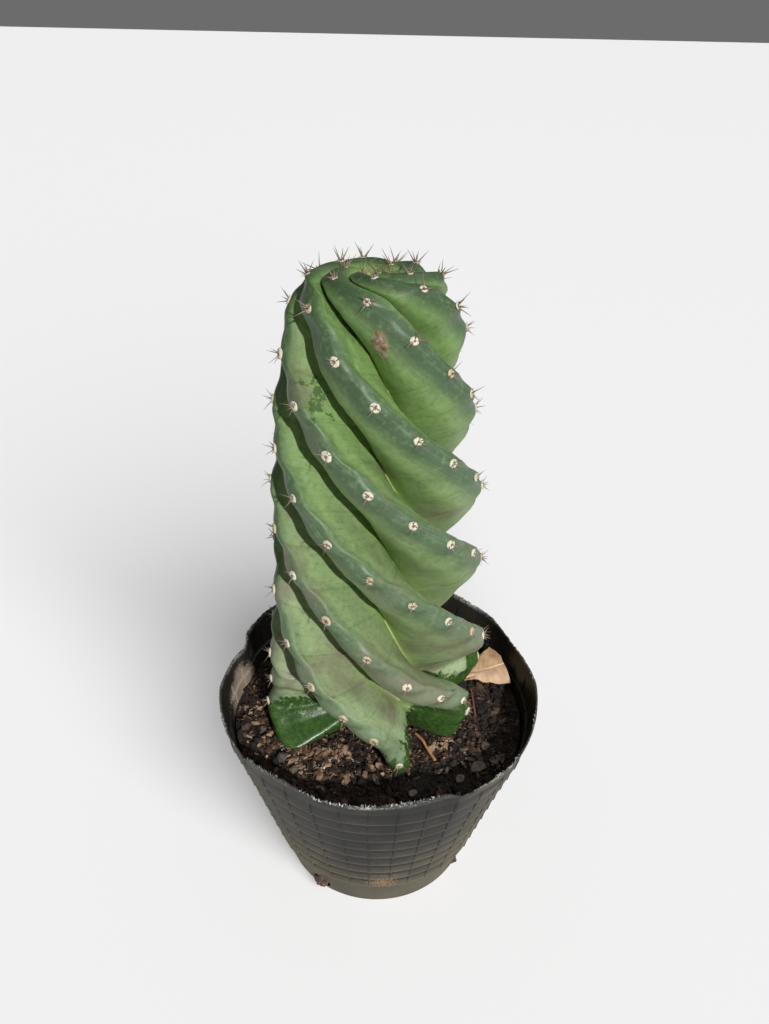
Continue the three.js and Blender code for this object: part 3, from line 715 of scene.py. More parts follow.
def ledge_profile():
    """The outer wall as (height, stands out by) from foot to rim: flat below, then ledge over ledge."""
    rows = [(3, 0), (8, 0), (16, 0), (24, 0)]
    for ledge in range(LEDGE_COUNT):
        foot = FIRST_LEDGE + ledge * LEDGE_PITCH
        rows += [(foot + rise, share * LEDGE_STEP) for rise, share in LEDGE_SHAPE]
    rows += [(FIRST_LEDGE + LEDGE_COUNT * LEDGE_PITCH, 0), (135, 0)]
    return rows


def pot_columns():
    """Angles round the pot, close together at the raised lines, and whether each is on a line."""
    angles, on_line = [], []
    for line in range(LINE_COUNT):
        start = line * 360 / LINE_COUNT + LINE_PHASE
        spread = np.linspace(LINE_EDGES[-1], 360 / LINE_COUNT + LINE_EDGES[0], PERIOD_POINTS - 2)[1:-1]
        angles += [start + edge for edge in LINE_EDGES] + [start + edge for edge in spread]
        on_line += [0, 1, 1, 0] + [0] * len(spread)
    return np.array(angles), np.array(on_line)


def ragged(angle):
    """The fine raggedness of the trimmed edge, between -1 and 1."""
    return noise.noise((angle * 1.9, 3.1, 0))


def wall_row(height, outward, angles, on_line, line_height):
    """A ring of the wall, that stands outward of the plain wall and follows the rim's wave near the top."""
    draw = random.Random(3)
    ring = []
    for angle, line in zip(angles, on_line):
        at = height
        reach = wall_radius(min(height, RIM_HEIGHT), angle)
        if height >= RAGGED_FROM:
            torn = ragged(angle) * 0.9 + noise.noise((angle * 0.5, 8.4, 0)) * 0.7
            torn += 0.3 * draw.uniform(-1, 1)
            rise = float(eased(height, RAGGED_FROM - 1, RIM_HEIGHT))
            at = height + (wave(angle, 2) + torn) * rise
            reach -= RIM_INSET * rise
        fade = float(eased(at, FIRST_LEDGE - 2, FIRST_LEDGE) * (1 - eased(at, LINE_TOP, LINE_TOP + 0.8)))
        reach += outward + line * line_height * fade
        turn = math.radians(angle)
        ring.append((reach * math.cos(turn), reach * math.sin(turn), at))
    return ring + ring[:1]


def make_pot():
    angles, on_line = pot_columns()
    profile = ledge_profile()

    def ring(height, outward, line_height=0):
        return wall_row(height, outward, angles, on_line, line_height)

    rows = [[(0, 0, 0)] * (len(angles) + 1)]
    for height, inset in ((0, FOOT_ROUND), (0.25, 0.7), (0.8, 0.2), (FOOT_ROUND, 0)):
        rows.append(ring(height, -inset - (BASE_RADIUS - wall_radius(0, 0))))
    rows += [ring(height, out, LINE_HEIGHT) for height, out in profile]
    rows += [ring(RIM_HEIGHT - 0.5, 0), ring(RIM_HEIGHT, -0.15), ring(RIM_HEIGHT + 0.05, -WALL / 2)]
    last_outer = len(rows) - 1
    rows.append(ring(RIM_HEIGHT, 0.15 - WALL))
    inner = [(height, out) for height, out in reversed(profile) if height > LINED_INSIDE_FROM]
    rows += [ring(height, out - WALL, LINE_HEIGHT) for height, out in inner]
    rows += [ring(height, -WALL) for height in (WAVE_START, FLOOR)]
    rows.append([(0, 0, FLOOR)] * (len(angles) + 1))

    def wall_side(row, column, face_column):
        return (row <= last_outer) * 1.0, row * 0.0

    pot = closed_skin("nursery_pot", rows, [("wall_side", wall_side)])
    cutters = []
    for hole in range(DRAIN_COUNT):
        turn = math.radians(DRAIN_ANGLE + hole * 360 / DRAIN_COUNT)
        reach = wall_radius(DRAIN_HEIGHT, 0)
        bpy.ops.mesh.primitive_cylinder_add(
            vertices=48, radius=DRAIN_RADIUS * MM, depth=30 * MM, rotation=(0, math.pi / 2, turn),
            location=(reach * math.cos(turn) * MM, reach * math.sin(turn) * MM, DRAIN_HEIGHT * MM),
        )
        cutters.append(bpy.context.object)
    cutter = join("drain_cutter", cutters)
    bpy.context.view_layer.objects.active = pot
    cut = pot.modifiers.new("drains", "BOOLEAN")
    cut.operation = "DIFFERENCE"
    cut.object = cutter
    cut.solver = "EXACT"
    bpy.ops.object.modifier_apply(modifier=cut.name)
    bpy.data.objects.remove(cutter)
    return pot


def make_rim_fray():
    """Torn shreds of plastic along the trimmed edge."""
    draw = random.Random(11)
    places = []
    for _ in range(SHREDS):
        angle = draw.uniform(-180, 180)
        if noise.noise((angle * 0.11, 1.5, 0)) < draw.uniform(-0.2, 0.35):
            continue
        turn = math.radians(angle)
        radius = wall_radius(RIM_HEIGHT, angle) - RIM_INSET - draw.uniform(0.2, WALL - 0.2)
        height = RIM_HEIGHT + wave(angle, 2) - 0.25 + ragged(angle) * 0.5
        length = draw.uniform(0.4, 2.1)
        lean = Matrix.Rotation(draw.uniform(-1.2, 1.2), 4, "X")
        lean = lean @ Matrix.Rotation(draw.uniform(-0.9, -0.1), 4, "Y")
        place = Matrix.Translation((radius * math.cos(turn), radius * math.sin(turn), height))
        turned = place @ Matrix.Rotation(turn, 4, "Z") @ lean
        places.append((0, turned @ Matrix.Diagonal((0.7, draw.uniform(1, 3), length, 1))))
    return scattered("rim_fray", [thorn_shape(0.2, 4)], places)


# Potting mix

def soil_height(x, y):
    far = np.hypot(x, y) / 90
    bumps = np.sin(x * 0.19 + 1.3) * np.cos(y * 0.16 - 0.4) + 0.6 * np.sin(x * 0.07 - y * 0.11)
    return SOIL_LEVEL + SOIL_BUMP * bumps * eased(far, 0.2, 0.45) - SOIL_EDGE_DROP * far ** 3


def inner_radius(height, degrees):
    return wall_radius(height, degrees) - WALL - WALL_GAP


def make_soil():
    """The mix as one body: crumbly top, sides against the pot, and a hole round the plant's foot."""
    angles = np.linspace(0, 360, SOIL_COLUMNS, endpoint=False)
    turn = np.radians(angles)
    edge = np.array([inner_radius(SOIL_EDGE_LEVEL, angle) for angle in angles])
    rows = []

    def ring(radius, height):
        radius = np.broadcast_to(radius, turn.shape)
        height = np.broadcast_to(height, turn.shape)
        points = np.stack([radius * np.cos(turn), radius * np.sin(turn), height], -1)
        rows.append(np.vstack([points, points[:1]]))

    ring(0, GAP + FLOOR)
    for height in (GAP + FLOOR, 60, 84, 104, 110):
        ring(np.array([inner_radius(height, angle) for angle in angles]), height)
    for share in np.linspace(1, 0, SOIL_RINGS) ** 0.8:
        radius = FOOT_RADIUS + 1 + (edge - FOOT_RADIUS - 1) * share
        x, y = radius * np.cos(turn), radius * np.sin(turn)
        flat = np.stack([x, y, 0 * x], -1)
        crumbs = rough(flat, 9, 1.5, 1) + rough(flat, 3.4, 1.0, 2) + rough(flat, 1.4, 0.5, 3)
        fade = float(eased(share, 0, 0.06))
        ring(radius, soil_height(x, y) + crumbs * fade - 0.4 - 2.4 * (1 - fade))
    ring(FOOT_TIP_RADIUS + 0.6, FOOT_BOTTOM - GAP)
    ring(0, FOOT_BOTTOM - GAP)
    return closed_skin("potting_mix", rows)


# The clods as (angle, height, radius, how far they stand out of the wall)
CLODS = [(-124, 9.8, 5.2, 4.2), (-34, 8.3, 4.2, 2.2)]


def make_soil_clods():
    """Lumps of mix that the water has pushed out of two drain holes."""
    lumps = []
    for number, (angle, height, radius, proud) in enumerate(CLODS):
        turn = math.radians(angle)
        reach = wall_radius(height, 0) + proud - radius
        bpy.ops.mesh.primitive_ico_sphere_add(subdivisions=5, radius=radius * MM)
        lump = bpy.context.object
        points = points_of(lump)
        rise = rough(points, 3.2, 0.26, number + 4) + rough(points, 1.1, 0.13, number + 8)
        points *= (0.93 + rise)[:, None]
        points[:, 2] *= 0.96
        inward = points @ np.array((math.cos(turn), math.sin(turn), 0))
        squeeze = 1 - 0.12 * eased(-inward, 0, radius)
        points[:, 2] *= squeeze
        set_points(lump, points + np.array((reach * math.cos(turn), reach * math.sin(turn), height)))
        lumps.append(lump)
    return join("drain_clods", lumps)


def lump_shape(seed, detail=2, flat=0.8):
    """A crumb: a small ball knocked out of round."""
    bpy.ops.mesh.primitive_ico_sphere_add(subdivisions=detail, radius=MM)
    shape = bpy.context.object
    points = points_of(shape)
    points *= (1 + rough(points, 0.9, 0.7, seed))[:, None] * np.array((1.1, 0.75, flat))
    set_points(shape, points)
    return shape


def fibre_shape(seed, bends=4):
    """A strand of bark or root: a slim strip of unit length that wanders from side to side."""
    draw = random.Random(seed)
    bpy.ops.mesh.primitive_cylinder_add(vertices=5, radius=0.5 * MM, depth=MM, rotation=(0, math.pi / 2, 0))
    shape = bpy.context.object
    bpy.ops.object.transform_apply(rotation=True)
    slice_across([(cut / (bends + 1) - 0.5, 0, 0) for cut in range(1, bends + 1)], (1, 0, 0))
    points = points_of(shape)
    sway, bow = draw.uniform(-0.25, 0.25), draw.uniform(-0.15, 0.22)
    x = points[:, 0]
    points[:, 1:] *= (1 - 1.1 * np.abs(x))[:, None]
    points[:, 1:] *= 0.16
    points[:, 1] += sway * np.cos(3.2 * x + seed) * 0.5
    points[:, 2] += bow * (0.25 - x ** 2) * 2
    set_points(shape, points)
    return shape


def flake_shape(seed):
    """A scrap of bark or husk: a thin plate with a broken outline."""
    draw = random.Random(seed)
    bpy.ops.mesh.primitive_circle_add(vertices=6, radius=MM, fill_type="NGON")
    shape = bpy.context.object
    bpy.ops.object.mode_set(mode="EDIT")
    bpy.ops.mesh.select_all(action="SELECT")
    bpy.ops.mesh.extrude_region_move(TRANSFORM_OT_translate={"value": (0, 0, 0.22 * MM)})
    bpy.ops.object.mode_set(mode="OBJECT")
    points = points_of(shape)
    reach = {}
    for i, (x, y, z) in enumerate(points):
        key = round(math.degrees(math.atan2(y, x)))
        reach.setdefault(key, draw.uniform(0.5, 1.35))
        points[i] = (x * reach[key], y * reach[key] * 0.45, z + 0.12 * reach[key] * x * x)
    set_points(shape, points)
    return shape


# What is strewn on the mix: how many pieces, between which sizes, how high they lie (a fixed height and
# a share of their size) and how far they tip over
STREWN = {
    "soil_crumbs": (4200, (0.45, 1.5), (0, 0.1), 0.5),
    "soil_clumps": (480, (1.1, 3.3), (0, 0.15), 1.2),
    "dry_crumbs": (1500, (0.7, 2.9), (0, 0.35), 1.2),
    "husk_flakes": (1100, (0.7, 2.8), (0.3, 0.25), 0.6),
    "strewn_chips": (90, (1.3, 4.2), (0.3, 0.2), 0.5),
    "white_grit": (110, (0.35, 0.95), (0.5, 0), 0.5),
}
FIBRES = 1300
FIBRE_LENGTHS = (1.6, 11)
CHIPS_AT = (63, -43)
CHIPS_REACH = 17
TWIG_LINE = ((23, -24), (34, -45))
TWIG_CLEAR = 2.3


def near_twig(x, y):
    """Whether a place is under the orange twig, where no litter is strewn so that the twig shows."""
    start, along = Vector(TWIG_LINE[0]), Vector(TWIG_LINE[1]) - Vector(TWIG_LINE[0])
    share = min(max((Vector((x, y)) - start).dot(along) / along.length_squared, 0), 1)
    return (Vector((x, y)) - start - along * share).length < TWIG_CLEAR


def anywhere(x, y):
    return 1


def near_plant(x, y):
    """Light litter gathers round the plant and at the left, as dry scraps do where water has pushed them."""
    reach = math.hypot((x - DRY_AT[0]) / DRY_STRETCH, y - DRY_AT[1])
    heaped = float(eased(noise.noise((x / 9, y / 9, 4)), -0.2, 0.25))
    return 0.03 + 0.97 * float(1 - eased(reach, *DRY_REACH)) * (0.1 + 0.9 * heaped)


def near_chips(x, y):
    """The grey chips lie in a little heap at the right of the front, with a few strewn over the mix."""
    return 0.03 + 0.97 * float(1 - eased(math.hypot(x - CHIPS_AT[0], y - CHIPS_AT[1]), 4, CHIPS_REACH))


def scatter_on_soil(draw, count, low, high, keep):
    """Places on the mix with a size each: keep gives the chance that one stays."""
    found = []
    while len(found) < count:
        angle = draw.uniform(-180, 180)
        reach = math.sqrt(draw.uniform(0.05, 1)) * (inner_radius(SOIL_EDGE_LEVEL, angle) - 1.5)
        x, y = reach * math.cos(math.radians(angle)), reach * math.sin(math.radians(angle))
        if reach < FOOT_RADIUS + 3 or near_twig(x, y) or draw.random() > keep(x, y):
            continue
        found.append((x, y, float(soil_height(x, y)), low + (high - low) * draw.random() ** 2.2))
    return found


def tumbled(draw, x, y, z, size, tilt=0.5):
    turn = Matrix.Rotation(draw.uniform(0, 2 * math.pi), 4, "Z")
    lean = Matrix.Rotation(draw.uniform(-tilt, tilt), 4, "X")
    lean = lean @ Matrix.Rotation(draw.uniform(-tilt, tilt), 4, "Y")
    return Matrix.Translation((x, y, z)) @ turn @ lean @ Matrix.Scale(size, 4)


def strew(name, draw, shapes, keep=anywhere):
    """One piece from copies of the shapes, strewn on the mix as its row of the litter table says."""
    count, sizes, lift, tilt = STREWN[name]
    places = [(draw.randrange(len(shapes)), tumbled(draw, x, y, z + lift[0] + lift[1] * size, size, tilt))
              for x, y, z, size in scatter_on_soil(draw, count, *sizes, keep)]
    return scattered(name, shapes, places)


def make_fibres():
    draw = random.Random(33)
    places = []
    for x, y, z, size in scatter_on_soil(draw, FIBRES, *FIBRE_LENGTHS, near_plant):
        thick = draw.uniform(0.4, 1.4) * (2 if size < 3.5 else 1)
        places.append((draw.randrange(6), tumbled(draw, x, y, z + draw.uniform(0.2, 1.1), 1, 0.35)
                       @ Matrix.Diagonal((size, thick * 2.2, thick * 2.2, 1))))
    return scattered("bark_fibres", [fibre_shape(seed) for seed in range(6)], places)


# Leaf: rows from its stalk to its tip as (middle, one edge, other edge), heights above the mix

LEAF_ROWS = [
    ((52, 26.5, 1.8), (52.3, 25.4, 1.4), (52.6, 27.6, 2.4)),
    ((62.3, 29.5, 2.8), (62.5, 25.5, 1.6), (62.2, 32.5, 6)),
    ((69.5, 31, 4.4), (69, 22.8, 1.6), (67.5, 37, 12)),
    ((76.5, 32.2, 6.2), (77, 21.2, 1.8), (73.3, 39.2, 18)),
    ((83.5, 34.2, 8), (87.4, 20.6, 2.2), (81.5, 36, 13)),
]
LEAF_DROP = 0.45
LEAF_THICKNESS = 0.45
LEAF_GRID = (49, 33)


def make_leaf():
    """A folded dry leaf: a grid laid over its rows, waved at the edges and given its thickness."""
    rows = np.array(LEAF_ROWS, float)
    fine, across = LEAF_GRID
    stations = np.linspace(0, len(rows) - 1, fine)
    bpy.ops.mesh.primitive_grid_add(x_subdivisions=across - 1, y_subdivisions=fine - 1, calc_uvs=True)
    leaf = bpy.context.object
    leaf.name = leaf.data.name = "dry_leaf_blade"
    points = np.zeros((fine, across, 3))
    middle, low, high = (
        np.stack([np.interp(stations, range(len(rows)), rows[:, k, axis]) for axis in range(3)], -1)
        for k in range(3)
    )
    tip = eased(stations, 3.3, 4)
    for i, share in enumerate(np.linspace(-1, 1, across)):
        edge = low if share < 0 else high
        reach = abs(share)
        line = middle + (edge - middle) * reach
        line[:, 2] += 1.3 * math.sin(math.pi * reach) * (1 if share < 0 else -0.5)
        line[:, 2] += 0.5 * np.sin(stations * 5.2 + (2 if share > 0 else 0)) * reach ** 2
        points[:, i] = line
    vein = np.abs(np.sin(stations[:, None] * 6.5 - np.abs(np.linspace(-1, 1, across)) * 2.4))
    points[..., 2] -= 0.25 * np.exp(-(vein / 0.25) ** 2) * (1 - tip[:, None])
    flat = points.reshape(-1, 3)
    flat[:, 2] += SOIL_LEVEL - LEAF_DROP + rough(flat, 5, 0.5, 6)
    set_points(leaf, flat)
    thick = leaf.modifiers.new("blade", "SOLIDIFY")
    thick.thickness = LEAF_THICKNESS * MM
    bpy.context.view_layer.objects.active = leaf
    bpy.ops.object.modifier_apply(modifier=thick.name)
    return leaf


# The stalk's middle line, with heights above the mix
STALK = [(45.5, 19.3, 1.2), (50, 21.2, 1.6), (55, 23, 1.5), (60, 24.8, 1.9), (64.5, 26.2, 2.6)]
STALK_RADIUS = 0.7


def make_stalk():
    """The leaf's thin stalk, lying on the mix."""
    rings = []
    for k, (x, y, z) in enumerate(STALK):
        after, before = STALK[min(k + 1, len(STALK) - 1)], STALK[max(k - 1, 0)]
        along = Vector((after[0] - before[0], after[1] - before[1], after[2] - before[2])).normalized()
        out = along.cross(Vector((0, 0, 1))).normalized()
        up = out.cross(along)
        radius = STALK_RADIUS * (0.75 + 0.125 * abs(k - 2))
        centre = Vector((x, y, z + SOIL_LEVEL))
        ring = [centre + (out * math.cos(a) + up * math.sin(a)) * radius
                for a in (math.radians(45 * step) for step in range(9))]
        rings.append([tuple(point) for point in ring])
    ends = [[tuple(Vector(STALK[end]) + Vector((0, 0, SOIL_LEVEL)))] * 9 for end in (0, -1)]
    return closed_skin("leaf_stalk", [ends[0], *rings, ends[1]])


# Materials

def grain(size):
    """The scale of a pattern whose features are this many millimetres across."""
    return 1 / (size * MM)


def from_patch(add, place, centre, size):
    """Distance from a patch's centre, where 1 is the edge of the ellipsoid of this size."""
    offset = add("VectorMath", [place, tuple(c * MM for c in centre)], "SUBTRACT")
    spread = add("VectorMath", [offset, tuple(1 / (c * MM) for c in size)], "MULTIPLY")
    return add("VectorMath", [spread], "LENGTH", out=1)


SKIN_FLANK = [(0.0, "#9bab84"), (0.25, "#86976b"), (0.55, "#7d9460"), (0.8, "#769256"), (1.0, "#688849")]
# Greens of the crest band: the crests' own bluer skin, darkened further as painted shade on the rolls
SKIN_CREST_AND_SHADE = [(0.0, "#6f8062"), (0.3, "#516548"), (0.6, "#445a3e"), (0.85, "#3c5236"), (1.0, "#374d30")]
SCAR_AT = (-4, -41, 379)
SCAR_SIZE = (5, 10, 12)
SCRAPE_AT = (-35, -31, 348)
SCRAPE_SIZE = (8, 12, 15)

# Where the wet glaze reaches up: patches as (centre, size, by how much)
WET_RISES = [
    ((-48, -28, 122), (30, 30, 60), 5), ((43, -20, 130), (27, 23, 70), 27), ((66, 25, 130), (15, 18, 60), 20),
]


def cactus_skin():
    """Living cactus skin: a thick waxy cuticle, deep green at the crown and paler with age lower down.
    The crests and the sides that face down are darker and bluer, partly bluer crest skin and partly painted
    shade; the grooves are yellower, with growth furrows, grey scars and a dark wet glaze near the mix."""
    skin, add = new_material("waxy_cactus_skin")
    place = add("TexCoord", out="Object")
    spot = add("SeparateXYZ", [place], out=slice(3))
    edge = from_map(add, "edge_run")
    groove = from_map(add, "groove_run")
    growth, side = edge[0], edge[1]
    run, from_groove = groove[0], groove[1]
    patches = add("TexNoise", {"Vector": place, "Scale": grain(24), "Detail": 3.0})
    mottle = add("TexNoise", {"Vector": place, "Scale": grain(3), "Detail": 5.0, "Roughness": 0.65})

    # Age: the flanks and the crests each run through their own greens from the foot to the crown; the crests'
    # darker greens are partly painted shade
    age = add("MapRange", [spot[2], 0.12, 0.41])
    age = add("Math", [patches, 0.3, age], "MULTIPLY_ADD")
    age = add("Math", [age, 0.15], "SUBTRACT")
    flank = add("ValToRGB", [age], stops=SKIN_FLANK)
    crest = add("ValToRGB", [age], stops=SKIN_CREST_AND_SHADE)
    # The band along each crest and down the rolls beside it: bluer crest skin, with painted shade that
    # darkens the rolls
    drawn = [add("Math", [run, 0.03], "MULTIPLY"), add("Math", [side, 0.45], "MULTIPLY")]
    drawn = add("CombineXYZ", drawn)
    streak = add("TexNoise", {"Vector": drawn, "Scale": 1.0, "Detail": 4.0, "Roughness": 0.6})
    strayed = add("Math", [streak, 7.0, side], "MULTIPLY_ADD")
    above = add("MapRange", [strayed, 22.0, 6.0], interpolation_type="SMOOTHSTEP")
    below = add("MapRange", [strayed, -17.0, -2.0], interpolation_type="SMOOTHSTEP")
    crest_and_painted_shade = add("Math", [above, below], "MULTIPLY")
    green = add("Mix", {0: crest_and_painted_shade, 6: flank, 7: crest}, data_type="RGBA", out=2)

    # Faint pale streaks of wax along the very edge, and small pale and dark flecks all over
    far = add("Math", [side], "ABSOLUTE")
    near_edge = add("MapRange", [far, 6.0, 1.0, 0.0, 0.26])
    waxy = add("MapRange", [streak, 0.5, 0.68])
    waxy = add("Math", [waxy, near_edge], "MULTIPLY")
    green = add("Mix", {0: waxy, 6: green, 7: colour("#84997f")}, data_type="RGBA", out=2)
    green = painted(add, green, colour("#9db083"), mottle, 0.5, 0.75, 0.25)
    green = painted(add, green, colour("#4d5c3c"), mottle, 0.48, 0.3, 0.5)

    # The yellower skin deep in the groove, and the cream line where two ribs meet
    green = painted(add, green, colour("#90ac5c"), from_groove, 17.0, 1.0, 0.7,
                    interpolation_type="SMOOTHSTEP")
    scab = add("Math", [mottle, 1.6], "MULTIPLY")
    scab = add("Math", [from_groove, scab], "SUBTRACT")
    green = painted(add, green, colour("#b9ad7c"), scab, 0.1, -0.3, 0.75)

    # Growth furrows: one from each areole across the flank, with finer ones between
    on_flank = add("MapRange", [far, 5.0, 11.0])
    bent = add("Math", [patches, 0.12, growth], "MULTIPLY_ADD")
    from_furrow = add("Math", [bent, 0.5], "PINGPONG")
    furrow = add("MapRange", [from_furrow, 0.03, 0.01, 0.0, 0.25])
    from_fine = add("Math", [bent, 0.08], "PINGPONG")
    fine = add("MapRange", [from_fine, 0.02, 0.0, 0.0, 0.16])
    lines = add("Math", [furrow, fine], "MAXIMUM")
    lines = add("Math", [lines, on_flank], "MULTIPLY")
    green = add("Mix", {0: lines, 6: green, 7: colour("#4b6236")}, data_type="RGBA", out=2)

    # Grey and purplish blotches of old skin
    cloud = add("TexNoise", {"Vector": place, "Scale": grain(30), "Detail": 6.0, "Roughness": 0.6, "W": 2.0},
                noise_dimensions="4D")
    old = add("MapRange", [spot[2], 0.37, 0.17, -0.07, 0.08])
    cloud = add("Math", [cloud, old], "ADD")
    green = painted(add, green, colour("#74695a"), cloud, 0.52, 0.68, 0.65)

    # One corky scar on the lower side of a rib near the crown
    reach = from_patch(add, place, SCAR_AT, SCAR_SIZE)
    ragged = add("Math", [mottle, 1.5, reach], "MULTIPLY_ADD")
    scar = add("MapRange", [ragged, 1.8, 1.5, 0.0, 0.9])
    cork = add("ValToRGB", [mottle], stops=[(0.38, "#5a4636"), (0.5, "#8f7763"), (0.62, "#b39c88")])
    green = add("Mix", {0: scar, 6: green, 7: cork}, data_type="RGBA", out=2)

    # Scrapes on a flank at the left, where the wax is rubbed off and darker green shows
    splash = add("TexNoise", {"Vector": place, "Scale": grain(7), "Detail": 6.0, "Roughness": 0.7})
    reach = from_patch(add, place, SCRAPE_AT, SCRAPE_SIZE)
    bared = add("Math", [reach, -0.12, splash], "MULTIPLY_ADD")
    green = painted(add, green, colour("#365227"), bared, 0.44, 0.46, 0.8)

    # The dark wet glaze near the mix, with a speckled upper boundary that is higher on some feet
    height = add("Math", [splash, 0.055, spot[2]], "MULTIPLY_ADD")
    for centre, size, rise in WET_RISES:
        reach = from_patch(add, place, centre, size)
        lift = add("MapRange", [reach, 1.0, 0.5, 0.0, rise * MM])
        height = add("Math", [height, lift], "SUBTRACT")
    wet = add("MapRange", [height, 0.166, 0.163])
    glaze = add("Math", [streak, 0.5, mottle], "MULTIPLY_ADD")
    glaze = add("ValToRGB", [glaze], stops=[(0.6, "#2b451e"), (0.8, "#3a5627"), (0.95, "#4a6735")])
    green = add("Mix", {0: wet, 6: green, 7: glaze}, data_type="RGBA", out=2)
    gloss = add("MapRange", [mottle, 0.3, 0.7, 0.42, 0.62])
    sheen = add("MapRange", [far, 9.0, 3.0, 0.0, 0.1])
    gloss = add("Math", [gloss, sheen], "SUBTRACT")
    gloss = add("Mix", {0: wet, 2: gloss, 3: 0.27}, data_type="FLOAT")

    relief_height = add("Math", [lines, -0.8, mottle], "MULTIPLY_ADD")
    bump = add("Bump", {"Height": relief_height, "Strength": 0.5, "Distance": 0.3 * MM})
    return surfaced(skin, add, {
        "Base Color": green, "Roughness": gloss, "Normal": bump, "IOR": 1.45, "Specular IOR Level": 0.38,
        "Subsurface Weight": 0.05, "Subsurface Radius": (2 * MM, 3 * MM, 1 * MM), "Subsurface Scale": 1.0,
    })


def areole_felt():
    """Areole felt: a dense mat of short pale hairs, rubbed dark in the middle where the spines stand."""
    felt, add = new_material("areole_felt_hairs")
    place = add("TexCoord", out="Object")
    own = from_map(add, "own_place")
    number = from_map(add, "own_number")
    hairs = add("TexNoise", {"Vector": place, "Scale": grain(0.5), "Detail": 3.0})
    reach = add("Math", [hairs, 1.0, own[0]], "MULTIPLY_ADD")
    pale = add("ValToRGB", [number[0]], stops=[(0.0, "#d2cbb6"), (0.75, "#c5bda4"), (1.0, "#b39f7a")])
    tone = painted(add, pale, colour("#6d5f4a"), reach, 1.7, 1.1)
    bump = add("Bump", {"Height": hairs, "Strength": 0.9, "Distance": 0.4 * MM})
    return surfaced(felt, add, {
        "Base Color": tone, "Roughness": 0.95, "Normal": bump, "Sheen Weight": 0.3, "Sheen Roughness": 0.5,
    })


def spine_horn():
    """Cactus spine: hard horn, brown at the root, greyer along it and dark at the tip."""
    horn, add = new_material("spine_horn")
    own = from_map(add, "own_place")
    number = from_map(add, "own_number")
    tone = add("ValToRGB", [own[1]],
               stops=[(0.0, "#7b614b"), (0.35, "#8d7f6e"), (0.8, "#6f6052"), (1.0, "#3b2c22")])
    aged = add("Math", [number[0], 0.5], "MULTIPLY")
    tone = add("Mix", {0: aged, 6: tone, 7: colour("#5a4436")}, data_type="RGBA", out=2)
    return surfaced(horn, add, {"Base Color": tone, "Roughness": 0.45})


SPLASH_AT = (4, -70, 34)
SPLASH_SIZE = (10, 12, 9)
CRUST_AT = (-91, 17, 117)
CRUST_SIZE = (9, 25, 13)


